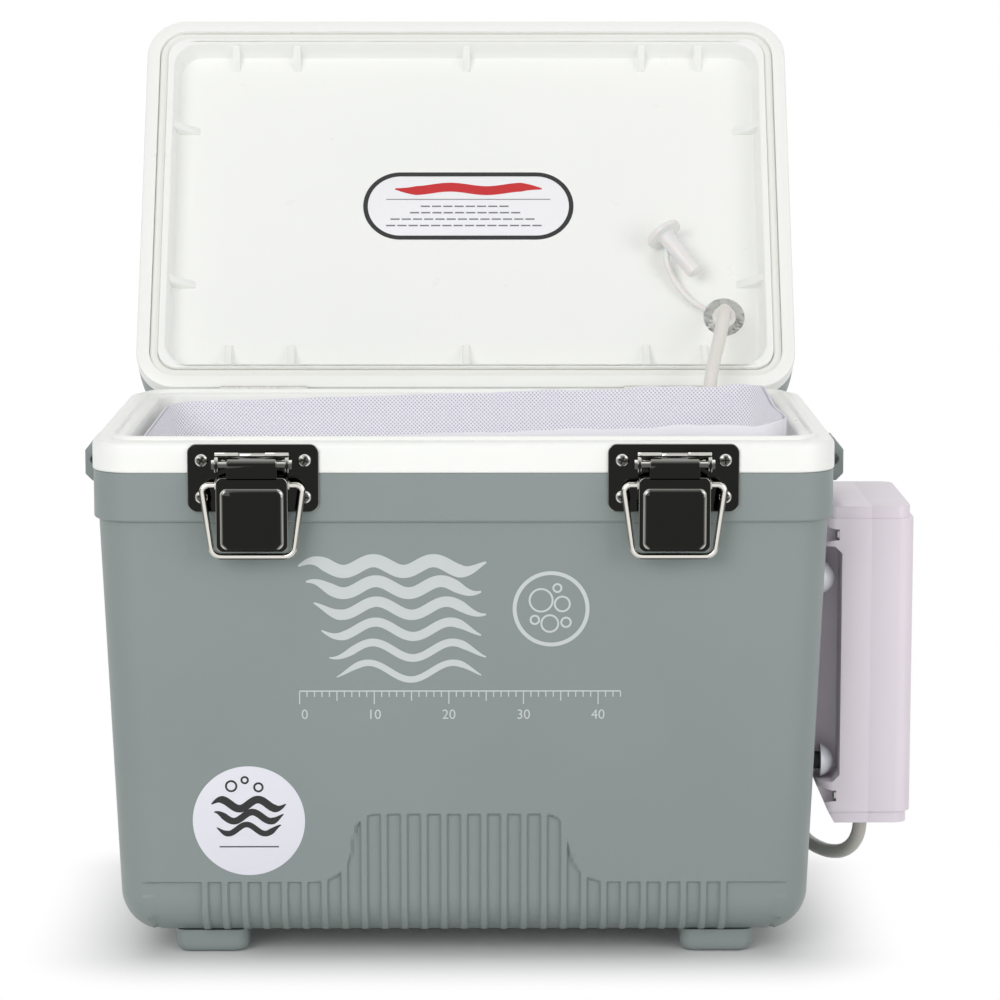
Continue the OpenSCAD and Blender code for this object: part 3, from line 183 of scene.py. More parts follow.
class Paint(Tree):
    """A material with one Principled shader, and short ways to vary what feeds it."""

    def __init__(self, name, colour, rough, metal=0.0, **sockets):
        self.material = bpy.data.materials.new(name)
        super().__init__(self.material)
        self.shader = self.tree.nodes["Principled BSDF"]
        self.base = (*colour, 1)
        self.feed(Base_Color=self.base, Roughness=rough, Metallic=metal, **sockets)
        self.place = self.node("TexCoord", output="Object")

    def feed(self, **sockets):
        for key, item in sockets.items():
            self.put(self.shader.inputs[key.replace("_", " ")], item)

    def axes(self, vector):
        first = self.node("SeparateXYZ", vector)
        return [Value(self, socket) for socket in first.socket.node.outputs]

    def noise(self, scale, detail):
        return self.node("TexNoise", Vector=self.place, Scale=scale, Detail=detail)

    def tint(self, factor, colour):
        """Base colour that goes from the paint's own to another as the factor goes from 0 to 1."""
        mixed = self.node("Mix", output="Result", settings={"data_type": "RGBA"},
                          Factor=factor, A=self.base, B=(*colour, 1))
        self.feed(Base_Color=mixed)
        return mixed

    def bump(self, height, strength, distance):
        self.feed(Normal=self.node("Bump", Height=height, Strength=strength, Distance=distance))


scene.world = bpy.data.worlds.new("studio")
studio = Tree(scene.world)
room = studio.node("Background", (1, 1, 1, 1), ROOM_LIGHT)
backdrop = studio.node("Background", (1, 1, 1, 1), 1.0)
studio.show(studio.node("MixShader", studio.seen_directly(), room, backdrop), "World Output")

floor_paint = Paint("floor", (0.9, 0.9, 0.9), 0.6)
bpy.ops.mesh.primitive_plane_add(size=14, location=(0, 0, -0.0004))
floor = bpy.context.object
floor.name = "floor"
floor.data.materials.append(floor_paint.material)
floor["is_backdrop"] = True
east, north, _ = floor_paint.axes(floor_paint.place)
aside = (abs(east) - SHADOW_X).largest(0.0)
ahead = (abs(north) - SHADOW_Y).largest(0.0)
far = (aside * aside + ahead * ahead).math("SQRT").ramp(-0.005, SHADOW_REACH)
far = far * far * (3 - 2 * far)
lit = Value(floor_paint, floor_paint.shader.outputs[0])
glow = floor_paint.node("Emission", (1, 1, 1, 1))
blend = floor_paint.node("MixShader", far * floor_paint.seen_directly(), lit, glow)
floor_paint.show(blend, "Material Output")

# Air hoses.
# Silicone air hose, 6 mm outside. The outer one is pushed on the pump's outlet, lies low round the corner of
# the box and rises to the port in the lid. The inner one runs from the port over the rim to the air stone.
MM = 0.001
HOSE_R = 3


def srgb(red, green, blue):
    """A linear colour from screen values of 0 to 255."""
    return tuple((v / 255 / 12.92) if v < 11 else ((v / 255 + 0.055) / 1.055) ** 2.4
                 for v in (red, green, blue))


def turns(sides):
    """The angles of a regular figure's corners."""
    return [2 * math.pi * k / sides for k in range(sides)]


def finished(name, mesh, material, smooth=None):
    """An object of a mesh in metres. Edges below the given angle are shaded smooth, if there is one."""
    mesh.materials.append(material)
    if smooth:
        mesh.polygons.foreach_set("use_smooth", [True] * len(mesh.polygons))
        mesh.set_sharp_from_angle(angle=math.radians(smooth))
    obj = bpy.data.objects.new(name, mesh)
    scene.collection.objects.link(obj)
    return obj


class Shape:
    """Collects closed solids, in millimetres, and makes one object of them."""

    def __init__(self):
        self.mesh = bmesh.new()

    def add(self, points, faces, bevel=0.0, segments=2):
        part = bmesh.new()
        corners = [part.verts.new(p) for p in points]
        for face in faces:
            part.faces.new([corners[i] for i in face])
        bmesh.ops.recalc_face_normals(part, faces=part.faces)
        if bevel:
            sharp = [e for e in part.edges if e.calc_face_angle(0) > math.radians(35)]
            bmesh.ops.bevel(part, geom=sharp, offset=bevel, segments=segments, profile=0.5,
                            affect="EDGES", clamp_overlap=True)
        store = bpy.data.meshes.new("part")
        part.to_mesh(store)
        part.free()
        self.mesh.from_mesh(store)
        bpy.data.meshes.remove(store)
        return self

    def loft(self, rings, closed=False, **edges):
        """Skin over rings of equal count. The two ends are capped, or joined if it is closed."""
        n = len(rings[0])
        points = [p for ring in rings for p in ring]
        last = len(rings) if closed else len(rings) - 1
        faces = [(a * n + k, a * n + (k + 1) % n, b * n + (k + 1) % n, b * n + k)
                 for a in range(last) for b in [(a + 1) % len(rings)] for k in range(n)]
        if not closed:
            faces += [tuple(range(n)), tuple(range(len(points) - n, len(points)))]
        return self.add(points, faces, **edges)

    def prism(self, outline, low, high, plane="xz", **edges):
        """A flat outline in one plane, drawn out along the third axis."""
        place = {"xy": lambda p, h: (p[0], p[1], h), "xz": lambda p, h: (p[0], h, p[1]),
                 "yz": lambda p, h: (h, p[0], p[1])}[plane]
        return self.loft([[place(p, h) for p in outline] for h in (low, high)], **edges)

    def box(self, low, high, **edges):
        (a, b, c), (d, e, f) = low, high
        return self.prism([(a, c), (d, c), (d, f), (a, f)], b, e, "xz", **edges)

    def rod(self, path, radius, sides, hint):
        """A round rod along a path. The hint is a direction that the path never runs in."""
        path = [Vector(p) for p in path]
        rings, last = [], len(path) - 1
        for i, p in enumerate(path):
            along = (path[min(i + 1, last)] - path[max(i - 1, 0)]).normalized()
            side = Vector(hint).cross(along).normalized()
            up = along.cross(side)
            rings.append([p + radius * (math.cos(t) * side + math.sin(t) * up) for t in turns(sides)])
        return self.loft(rings)

    def turned(self, profile, centre, axis, sides=32):
        """A profile of (radius, distance along the axis) turned about the axis."""
        axis = Vector(axis).normalized()
        side = axis.orthogonal().normalized()
        up = axis.cross(side)
        return self.loft([[Vector(centre) + axis * h + r * (math.cos(t) * side + math.sin(t) * up)
                           for t in turns(sides)] for r, h in profile])

    def make(self, name, material, smooth=35, move=None):
        mesh = bpy.data.meshes.new(name)
        self.mesh.to_mesh(mesh)
        self.mesh.free()
        if move is not None:
            mesh.transform(move)
        mesh.transform(Matrix.Scale(MM, 4))
        return finished(name, mesh, material, smooth)


def settle(obj, body, slot, *replaced):
    """The piece rides on a body and stands for the CAD nodes it replaces, which it hides. The slot is not
    used.
    """
    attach(obj, body)
    if replaced:
        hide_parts(*replaced)
    return obj


def spline(plan, steps):
    """Points along a smooth curve through the planned ones."""
    plan = [Vector(p) for p in plan]
    line = []
    for i in range(len(plan) - 1):
        a = plan[i - 1] if i else 2 * plan[0] - plan[1]
        b, c = plan[i], plan[i + 1]
        d = plan[i + 2] if i + 2 < len(plan) else 2 * plan[-1] - plan[-2]
        for k in range(steps):
            t = k / steps
            line.append(0.5 * (2 * b + (c - a) * t + (2 * a - 5 * b + 4 * c - d) * t * t
                               + (3 * b - a - 3 * c + d) * t ** 3))
    return line + [plan[-1]]


def path_length(line):
    return sum((b - a).length for a, b in zip(line, line[1:]))


def moulded(name, colour, rough, darker, grain=1400.0, grain_depth=0.00003, cloud=0.35, **sockets):
    """Injection-moulded plastic: faint clouds of tone, a fine satin grain and slightly uneven gloss."""
    paint = Paint(name, colour, rough, **sockets)
    paint.tint(paint.noise(9.0, 4.0).ramp(0.35, 0.7) * cloud, darker)
    paint.feed(Roughness=paint.noise(60.0, 3.0) * 0.12 + (rough - 0.06))
    paint.bump(paint.noise(grain, 2.0), 0.25, grain_depth)
    return paint.material


hose_paint = moulded("hose", srgb(204, 203, 194), 0.4, srgb(188, 187, 179), 800.0, 0.00001,
                     Subsurface_Weight=0.15, Subsurface_Scale=0.003)
clear_hose = moulded("clear_hose", srgb(236, 234, 228), 0.3, srgb(222, 219, 212), 800.0, 0.00001,
                     Subsurface_Weight=0.2, Subsurface_Scale=0.003)
outer_plan = [(168, -13.5, 46.2), (168, -13.75, 41.04), (167.2, -12.61, 35.29), (165, -9.26, 30.14),
              (161.5, -3.52, 26.29), (157, 4.23, 24.33), (152.8, 13.97, 23.78), (149.6, 25.72, 23.83),
              (147.8, 39.47, 24.47), (147, 54.21, 26.12), (146.6, 68.96, 29.57), (145.4, 83.7, 35.41),
              (143, 97.45, 44.26), (139.4, 110.19, 57.11), (135, 121.94, 73.95), (131, 132.69, 94.8),
              (127.4, 142.43, 118.64), (124.2, 151.18, 144.48), (121.4, 158.92, 171.33),
              (119.4, 165.07, 195.18), (118.6, 167.82, 209.02), (118.2, 167.16, 217.67),
              (118, 163.51, 224.52), (118, 158.25, 227.96), (118, 152.95, 230.61)]
inner_plan = [(118, 128.35, 244.81), (118, 124.64, 246.93), (117.5, 120.23, 247.34),
              (116.8, 115.22, 245.75), (115.8, 109.6, 242.17), (114.4, 103.59, 237.38),
              (112.8, 97.18, 232.79), (111.2, 90.17, 228.41), (109.8, 83.16, 224.02),
              (108.6, 77.34, 218.64), (107.8, 74.13, 210.65), (107.2, 73.12, 200.62),
              (106.4, 72.31, 180.2), (105.4, 70.7, 152.77), (104.2, 68.88, 123.34), (102.6, 66.27, 93.92),
              (101, 62.86, 69.93), (99.4, 58.45, 51.95), (97.4, 55.04, 41.96), (93, 52.62, 34.97),
              (88.5, 52.01, 32.74), (84, 52, 32.75)]
for name, plan, paint, start, end, pieces in (
        ("outer", outer_plan, hose_paint, (0.135, 0.122, 0.074), (0.118, 0.1635, 0.2245), []),
        ("inner", inner_plan, clear_hose, (0.1064, 0.0723, 0.188), (0.1175, 0.1202, 0.2473), ["airstone"])):
    line = spline(plan, 6)
    hose = Shape().rod(line, HOSE_R, 20, (1, 0.3, 0.1)).make("hose_" + name, paint, 60)
    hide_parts("air_hose_" + name)
    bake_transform(hose)
    [v * MM for v in line[0]]
    path_length(line) * MM
    [tuple(p * MM) for p in line]

# Outer shell of the box.
# One injection moulding in grey plastic, with a collar under the rim and a shallow ribbed recess low on the
# front that runs under the bottom edge. It is skinned ring over ring.
grey_plastic = moulded("grey_plastic", srgb(139, 149, 147), 0.42, srgb(126, 137, 135))
RIM_X, RIM_Y, RIM_Z = 149.0, 94.0, 214.2
COLLAR_Z, BAND_Z, FOOT_Z = 182.0, 201.8, 9.5
WALL_X, WALL_Y = 146.9, 91.9
COLLAR_X, COLLAR_Y = 148.7, 93.7
EDGE_R = 18.0
LEAN = 6.2
RIB_PITCH, RIB_HALF, RIBS, RIBS_END = 8.1, 1.45, 27, 108
RECESS_DEEP, RECESS_HALF, RECESS_TOP = 1.5, 130, 33
RAISED_MID, RAISED_HALF, RAISED_TOP, RAISED_FLARE = -1.5, 41.5, 61.4, 0.17


def arc_steps(count, start=0.0, end=90.0):
    return [math.radians(start + (end - start) * k / count) for k in range(count + 1)]


def rounded_ring(half_x, half_y, radius, z, front=(), sides=8, corner=10, mid_x=0.0, mid_y=0.0):
    """A level rounded rectangle. Extra columns can be set along its front side."""
    inner_x, inner_y = half_x - radius, half_y - radius
    walls = {(1, -1): ((half_x, -inner_y), (half_x, inner_y)),
             (1, 1): ((inner_x, half_y), (-inner_x, half_y)),
             (-1, 1): ((-half_x, inner_y), (-half_x, -inner_y))}
    ring = []
    for sx, sy, start in ((-1, -1, 180), (1, -1, 270), (1, 1, 0), (-1, 1, 90)):
        ring += [(mid_x + sx * inner_x + radius * math.cos(t), mid_y + sy * inner_y + radius * math.sin(t), z)
                 for t in arc_steps(corner, start, start + 90)]
        if (sx, sy) not in walls:
            ring += [(mid_x + x, mid_y - half_y, z) for x in front]
            continue
        (ax, ay), (bx, by) = walls[sx, sy]
        ring += [(mid_x + ax + (bx - ax) * k / sides, mid_y + ay + (by - ay) * k / sides, z)
                 for k in range(1, sides)]
    return ring


def wall_half(z, top):
    """Half the width or depth over the leaning walls at a height, from that at the collar."""
    return top - LEAN * (COLLAR_Z - z) / (COLLAR_Z - FOOT_Z - EDGE_R)


def smooth_step(value):
    value = max(0.0, min(1.0, value))
    return value * value * (3 - 2 * value)


def rounded_corner(x, z, radius):
    x, z = x + radius, z + radius
    return math.hypot(max(x, 0), max(z, 0)) + min(max(x, z), 0) - radius


def recess_amount(x, z):
    """How deep the recess is at a point of the front, from 0 to 1."""
    low_part = rounded_corner(abs(x) - RECESS_HALF, z - RECESS_TOP, 3)
    half = RAISED_HALF + (RAISED_TOP - z) * RAISED_FLARE
    raised = rounded_corner(abs(x - RAISED_MID) - half, z - RAISED_TOP, 7.5)
    joint = max(0.0, 14 - abs(low_part - raised)) / 14
    edge = min(low_part, raised) - joint * joint * 14 * 0.25
    rib = abs((x + RIB_PITCH * 100.5) % RIB_PITCH - RIB_PITCH / 2)
    wall = smooth_step((rib - RIB_HALF) / 0.7 + 0.5) if abs(x) < RIBS_END else 1.0
    return smooth_step(0.5 - edge / 0.9) * wall


columns = sorted(i * RIB_PITCH - (RIBS - 1) / 2 * RIB_PITCH + offset for i in range(RIBS)
                 for offset in (-4.05, -2.6, -1.9, -1.6, -1.3, -1.0, 0, 1.0, 1.3, 1.6, 1.9, 2.6))
columns += [columns[-1] + 1.5 * k for k in range(1, 9)]
columns = [-x for x in reversed(columns) if x > 109.4] + columns

rings = []
for t in sorted(arc_steps(14, 4, 88), reverse=True):
    z = FOOT_Z + EDGE_R * (1 - math.sin(t))
    inset = EDGE_R * (1 - math.cos(t))
    half_x, half_y = (wall_half(FOOT_Z + EDGE_R, top) - inset for top in (WALL_X, WALL_Y))
    fade = RECESS_DEEP * smooth_step((math.radians(86) - t) / 0.25)
    ring = []
    for x, y, _ in rounded_ring(half_x, half_y, max(EDGE_R - inset, 0.6), z, columns):
        deep = fade * recess_amount(x, 20) if y < -half_y + EDGE_R * 0.5 and abs(x) < 127 else 0
        ring.append((x, y + deep * math.cos(t), z + deep * math.sin(t)))
    rings.append(ring)
for z in [FOOT_Z + EDGE_R + k * 0.65 for k in range(60)] + [68, 75, 90, 110, 130, 150, 168, 181.3]:
    half_x, half_y = wall_half(z, WALL_X), wall_half(z, WALL_Y)
    rings.append([(x, y + RECESS_DEEP * recess_amount(x, z) if y < -half_y + EDGE_R * 0.5 else y, z)
                  for x, y, _ in rounded_ring(half_x, half_y, EDGE_R, z, columns)])
for half_x, half_y, z in (
        (WALL_X, WALL_Y, 181.6), (WALL_X + 0.5, WALL_Y + 0.5, COLLAR_Z),
        (COLLAR_X - 0.4, COLLAR_Y - 0.4, 182.2), (COLLAR_X, COLLAR_Y, 182.8), (COLLAR_X, COLLAR_Y, 190),
        (COLLAR_X, COLLAR_Y, BAND_Z - 0.4),
        (COLLAR_X - 0.3, COLLAR_Y - 0.3, BAND_Z - 0.1), (144.6, 89.6, BAND_Z - 0.1), (143.9, 88.9, COLLAR_Z),
        (138.3, 83.3, 30), (136, 81, 20), (128, 73, 13)):
    rings.append(rounded_ring(half_x, half_y, EDGE_R if z > 25 else 14, z, columns))
settle(Shape().loft(rings).make("box_shell", grey_plastic, 32), "box", "grey_plastic", "outer_shell")

# Print on the front.
# Pale ink printed on the grey wall after moulding: wave bands, bubbles, and a measuring rule with plain
# numbers. Each mark is a thin face just off the wall.
ink = moulded("ink", srgb(206, 211, 211), 0.5, srgb(190, 196, 196), 900.0, 0.00001)
RULE_X, RULE_Z, RULE_STEP, RULE_MARKS = -66, 112.6, 3, 44


def front_y(z, lift=0.08):
    return -wall_half(z, WALL_Y) - lift


def circle(x, z, radius, sides):
    return [(x + radius * math.cos(t), z + radius * math.sin(t)) for t in turns(sides)]


class Print:
    """Thin ink shapes that lie on a surface given by a function of two flat coordinates."""

    def __init__(self, lay):
        self.lay, self.points, self.faces = lay, [], []

    def strip(self, line, width, closed=False):
        """A band of ink along a flat line. The width is one number or one for each point."""
        count, start = len(line), len(self.points)
        for i, (x, z) in enumerate(line):
            ahead = line[(i + 1) % count] if closed else line[min(i + 1, count - 1)]
            behind = line[i - 1] if closed or i else line[0]
            dx, dz = ahead[0] - behind[0], ahead[1] - behind[1]
            size = math.hypot(dx, dz) or 1
            half = (width[i] if hasattr(width, "__len__") else width) / 2
            for side in (1, -1):
                self.points.append(self.lay(x - side * dz / size * half, z + side * dx / size * half))
        for i in range(count if closed else count - 1):
            a, b = start + 2 * i, start + 2 * ((i + 1) % count)
            self.faces.append((a, a + 1, b + 1, b))

    def ring(self, x, z, radius, width, sides):
        self.strip(circle(x, z, radius, sides), width, True)

    def wave(self, x0, x1, z, height, length, width, phase=0.0, steps=90):
        """A wavy band that tapers at both ends."""
        reach = x1 - x0
        turn = 2 * math.pi * reach / length
        line = [(x0 + reach * k / steps, z + height * math.sin(turn * k / steps + phase))
                for k in range(steps + 1)]
        taper = [width * min(1.0, 0.15 + 6 * min(k, steps - k) / steps) for k in range(steps + 1)]
        self.strip(line, taper)

    def number(self, text, x, z, size):
        """A plain numeral, centred on a point."""
        curve = bpy.data.curves.new("numeral", "FONT")
        curve.body, curve.size, curve.align_x, curve.align_y = text, size, "CENTER", "CENTER"
        temp = bpy.data.objects.new("numeral", curve)
        scene.collection.objects.link(temp)
        mesh = temp.to_mesh()
        start = len(self.points)
        self.points += [self.lay(x + v.co.x, z + v.co.y) for v in mesh.vertices]
        self.faces += [tuple(start + i for i in p.vertices) for p in mesh.polygons]
        temp.to_mesh_clear()
        bpy.data.objects.remove(temp)
        bpy.data.curves.remove(curve)

    def make(self, name, material, body, slot, move=None, outward=(0, -1, 0)):
        mesh = bpy.data.meshes.new(name)
        mesh.from_pydata([tuple(p) for p in self.points], [], self.faces)
        tool = bmesh.new()
        tool.from_mesh(mesh)
        for face in tool.faces:
            face.normal_update()
            if face.normal.dot(Vector(outward)) < 0:
                face.normal_flip()
        tool.to_mesh(mesh)
        tool.free()
        if move is not None:
            mesh.transform(move)
        mesh.transform(Matrix.Scale(MM, 4))
        return settle(finished(name, mesh, material), body, slot)


art = Print(lambda x, z: (x, front_y(z), z))
for row in range(6):
    art.wave(-66 + 3 * row, 9 - 2 * (row % 2), 164 - 8.6 * row, 2.2 + 0.25 * row, 24 + 2 * row,
             5.4 - 0.55 * row, row * 1.1)
art.strip([(RULE_X, RULE_Z + 0.2), (RULE_X + RULE_STEP * (RULE_MARKS - 1), RULE_Z + 0.2)], 0.55)
for mark in range(RULE_MARKS):
    x = RULE_X + RULE_STEP * mark
    drop = 5.2 if mark % 10 == 0 else 3.8 if mark % 5 == 0 else 2.2
    art.strip([(x, RULE_Z), (x, RULE_Z - drop)], 0.45)
    if mark % 10 == 0:
        art.number(str(mark), x + (2.0 if mark == 0 else 0), 103.0, 5.6)
art.make("front_print", ink, "box", "sticker")
bubbles = Print(lambda x, z: (x, front_y(z), z))
bubbles.ring(35, 146.5, 14.6, 1.6, 72)
for x, z, r in ((31, 150, 4.6), (39.5, 148.5, 3.0), (34.5, 140.5, 3.4), (41, 141, 1.9), (28.5, 142, 1.7),
                (37.5, 155, 1.6)):
    bubbles.ring(x, z, r, 0.8, 36)
bubbles.make("bubble_print", ink, "box", "sticker")

# Round sticker.
# A disc of white film with an adhesive back, stuck low on the front. It is printed with black waves and
# bubbles.
STICKER_X, STICKER_Z, STICKER_R = -87, 59, 22.7
sticker_paint = moulded("sticker", srgb(234, 234, 242), 0.4, srgb(226, 226, 236), 900.0, 0.00001)
dark_ink = moulded("dark_ink", srgb(26, 26, 28), 0.45, srgb(40, 40, 42), 900.0, 0.00001)
sticker = Shape().loft([[(x, front_y(z, lift), z) for x, z in circle(STICKER_X, STICKER_Z, r, 96)]
                        for r, lift in ((STICKER_R, 0.0), (STICKER_R, 0.12), (STICKER_R - 0.25, 0.2))])
settle(sticker.make("sticker_disc", sticker_paint, 30), "box", "sticker", "round_sticker")
mark = Print(lambda x, z: (x, front_y(z, 0.26), z))
for row in range(3):
    mark.wave(-102 + row, -72 - row, 66 - 5.2 * row, 1.9, 15, 3.2 - 0.4 * row, row * 1.4)
mark.strip([(-99, 48.2), (-75, 48.2)], 0.5)
for x, z, r in ((-94, 73.5, 2.1), (-88.5, 76, 1.3), (-83, 73, 1.7)):
    mark.ring(x, z, r, 0.8, 30)
mark.make("sticker_print", dark_ink, "box", "sticker")

# Foam core of the box.
# Pale rigid foam that fills the space between the grey shell and the white liner. It keeps the shape of the
# solid, since the other two cover it.


def dress(material, *names):
    """Gives CAD nodes that keep their own shape a detailed material."""
    for name in names:
        nodes[name].data.materials.clear()
        nodes[name].data.materials.append(material)


foam_paint = moulded("foam", srgb(232, 226, 200), 0.9, srgb(214, 206, 176), 700.0, 0.0003)
dress(foam_paint, "foam_core")

# Inner liner of the box.
# One white moulding: the band and flange of the rim with its sealing bead, and the tub, which leans in
# towards a rounded floor. It drops over the grey collar.
white_plastic = moulded("white_plastic", srgb(252, 253, 249), 0.30, srgb(246, 248, 244), 900.0, 0.00001)
ROLL_R, LIP_R, TUB_R = 2.6, 1.8, 13


def rim_ring(inset, z, radius):
    return rounded_ring(RIM_X - inset, RIM_Y - inset, radius, z, sides=6, corner=12)


under = [(34, 23.5, 5), (27, 24.6, 9), (24.2, 31, 13), (11.4, RIM_Z - 7, 15), (11.3, RIM_Z - 3.2, 15),
         (3.1, RIM_Z - 3, 15), (3.0, BAND_Z + 0.3, 15), (0.5, BAND_Z, 17.5), (0.0, BAND_Z + 0.5, EDGE_R),
         (0.0, RIM_Z - ROLL_R, EDGE_R)]
roll = [(ROLL_R * (1 - math.cos(t)), RIM_Z - ROLL_R * (1 - math.sin(t)), EDGE_R - ROLL_R * (1 - math.cos(t)))
        for t in arc_steps(7, 12, 90)]
bead = [(inset, RIM_Z + rise, radius) for inset, rise, radius in
        ((6.3, 0, 14), (6.55, 0.7, 13.6), (7.1, 1.4, 13), (7.8, 1.6, 12.4), (8.5, 1.4, 12), (9.05, 0.7, 11.6),
         (9.3, 0, 11.4), (12.0, 0, TUB_R))]
lip = [(12.0 + LIP_R * math.sin(t), RIM_Z - LIP_R * (1 - math.cos(t)), TUB_R) for t in arc_steps(5, 15, 80)]
rings = [rim_ring(*place) for place in under + roll + bead + lip]
for z in (198, 170, 130, 90, 60, 40):
    rings.append(rim_ring(13.8 + 11.5 * (212 - z) / 186, z, TUB_R))
for t in arc_steps(8, 0, 86):
    rings.append(rim_ring(25.0 + TUB_R * (1 - math.cos(t)), 25.9 + TUB_R * (1 - math.sin(t)),
                          max(TUB_R * math.cos(t), 0.9)))
settle(Shape().loft(rings).make("box_liner", white_plastic, 32), "box", "white_plastic", "inner_liner")

# Feet.
# Four tapered feet, moulded in the shell's grey plastic. Each stands under a corner of the box and is held
# from below by one steel screw in a counterbore.
for place in ("front_left", "front_right", "rear_left", "rear_right"):
    low, high = (v * 1000 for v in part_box("foot_" + place))
    mx, my = (low.x + high.x) / 2, (low.y + high.y) / 2
    hx, hy = (high.x - low.x) / 2, (high.y - low.y) / 2
    foot = Shape()
    foot.loft([rounded_ring(hx - e, hy - e, 5, z, sides=4, corner=8, mid_x=mx, mid_y=my) for e, z in
               ((2.2, 0.0), (1.2, 0.5), (0.5, 1.4), (0.1, 2.8), (0.0, 4.0), (0.0, 9.2))])
    settle(foot.make("foot_block_" + place, grey_plastic, 40), "box", "grey_plastic", "foot_" + place)


def brushed(name, colour, rough, stretch, darker):
    """Metal with fine marks drawn out along one axis and uneven gloss."""
    paint = Paint(name, colour, rough, 1.0)
    marks = paint.node("TexNoise", Vector=paint.node("Mapping", Vector=paint.place, Scale=stretch),
                       Scale=1.0, Detail=4.0)
    paint.tint(marks.ramp(0.35, 0.75) * 0.5, darker)
    paint.feed(Roughness=marks * 0.16 + (rough - 0.08))
    paint.bump(marks, 0.12, 0.00002)
    return paint.material


plain_steel = brushed("plain_steel", srgb(186, 186, 184), 0.3, (300, 300, 300), srgb(150, 150, 148))
dress(plain_steel, "foot_screws")

# Strap lugs.
# Blocks moulded in the shell's grey plastic, one on each end of the collar, with a hole for the strap's snap
# hook. Each is held by two steel screws.


def softened(name, node, material, body, slot, width):
    """A copy of a solid with its sharp edges rounded, for mouldings and pressings."""
    tool = bmesh.new()
    tool.from_mesh(nodes[node].data)
    tool.transform(nodes[node].matrix_world)
    bmesh.ops.remove_doubles(tool, verts=tool.verts, dist=1e-6)
    bmesh.ops.dissolve_limit(tool, angle_limit=math.radians(2), verts=tool.verts, edges=tool.edges)
    sharp = [e for e in tool.edges if e.calc_face_angle(0) > math.radians(28)]
    bmesh.ops.bevel(tool, geom=sharp, offset=width * MM, segments=3, profile=0.5, affect="EDGES",
                    clamp_overlap=True)
    mesh = bpy.data.meshes.new(name)
    tool.to_mesh(mesh)
    tool.free()
    return settle(finished(name, mesh, material, 35), body, slot, node)


for side in ("left", "right"):
    softened("lug_block_" + side, "strap_lug_" + side, grey_plastic, "box", "grey_plastic", 0.7)
dress(plain_steel, "strap_lug_screws")

# Hinges.
# Two stainless butt hinges on the back. Each has one leaf screwed to the box, one screwed to the lid, and a
# plain pin through their knuckles.
bright_steel = brushed("bright_steel", srgb(206, 205, 200), 0.18, (900, 60, 60), srgb(168, 167, 160))
dress(bright_steel, "hinge_body_leaf_left", "hinge_body_leaf_right", "hinge_lid_leaf_left",
      "hinge_lid_leaf_right")
dress(plain_steel, "hinge_pins", "hinge_body_screws", "hinge_lid_screws")

# Draw latches.
# Polished stainless pressings: a base plate with two ears and a slotted bridge, a lever rolled round its pin
# with a raised pad, and a bail of round wire that turns in a sleeve in the lever.
LATCH_X, FRONT = 83.5, -94.0
PIN_Y, PIN_Z = -102.6, 206.2
BAIL_Y, BAIL_Z = -101.0, 198.0
BAIL_TOP, BAIL_FOOT, BAIL_DROP, WIRE_R = 20.2, 16, 28.5, 1.3
PLATE_HALF, PLATE_THICK = 26.15, 1.2
EAR_IN, EAR_OUT, EAR_R = 13.2, 14.7, 3.3
BRIDGE_IN, BRIDGE_OUT, SLOT_HALF = 3.6, 4.9, 5.2
WING_IN, WING_OUT, LEVER_THICK = 12.9, 14.2, 1.3
SCREW_X, SCREWS_Z = 20.5, (207.1, 192.4)


def mirror_steel(name, dark, glint_colour, rough, up, side, front):
    """Polished steel with painted glints: the base colour is tinted towards a bright one on faces that look
    up, sideways or forwards, and on slanted corners.
    """
    paint = Paint(name, dark, rough, 1.0, Coat_Weight=0.2, Coat_Roughness=0.04)
    across, along, upward = paint.axes(paint.node("TexCoord", output="Normal"))
    # Painted highlight: a mask from the face's direction that tints the base colour towards the glint colour.
    glint = (upward.ramp(0.3, 0.8) * up).largest(abs(across).ramp(0.3, 0.6) * side)
    glint = glint.largest(abs(along).ramp(0.78, 0.97) * front)
    glint = glint.largest(abs(across * upward).ramp(0.05, 0.17) * 0.9)
    paint.tint(glint, glint_colour)
    paint.feed(Roughness=paint.noise(90.0, 3.0) * 0.08 + (rough - 0.04))
    return paint.material


# Each copy below takes the painted glints in its own amount. The lever and the base plate are one steel and
# differ only in painted glint. The bridge, pressed with the plate, has a lighter base as painted light.
dark_steel = mirror_steel("dark_steel", srgb(26, 26, 24), srgb(214, 213, 206), 0.09, 0.75, 0.4, 0.0)
lever_steel = mirror_steel("lever_steel", srgb(26, 26, 24), srgb(214, 213, 206), 0.09, 0.3, 0.5, 0.0)
bridge_steel = mirror_steel("bridge_steel", srgb(60, 60, 56), srgb(226, 225, 218), 0.09, 0.9, 0.3, 0.8)
wire_steel = mirror_steel("wire_steel", srgb(58, 56, 52), srgb(236, 234, 226), 0.09, 0.5, 0.0, 0.9)
screw_steel = mirror_steel("screw_steel", srgb(88, 88, 84), srgb(238, 238, 232), 0.12, 0.9, 0.5, 0.0)


def rounded_outline(half_x, low, high, radius, steps=6, mid=0.0):
    points = []
    for sx, z, start in ((1, low, 270), (1, high, 0), (-1, high, 90), (-1, low, 180)):
        cz = z + radius if z == low else z - radius
        points += [(mid + sx * (half_x - radius) + radius * math.cos(t), cz + radius * math.sin(t))
                   for t in arc_steps(steps, start, start + 90)]
    return points


def fillet(path, radii, steps=8):
    """A path whose inner corners are rounded to the given radii."""
    path = [Vector(p) for p in path]
    line = [path[0]]
    for i, radius in enumerate(radii, 1):
        u = (path[i - 1] - path[i]).normalized()
        v = (path[i + 1] - path[i]).normalized()
        half = u.angle(v) / 2
        centre = path[i] + (u + v).normalized() * radius / math.sin(half)
        a = path[i] + u * radius / math.tan(half) - centre
        b = path[i] + v * radius / math.tan(half) - centre
        turn = a.angle(b)
        line += [centre + (a * math.sin(turn - part) + b * math.sin(part)) / math.sin(turn)
                 for part in (turn * k / steps for k in range(steps + 1))]
    return line + [path[-1]]


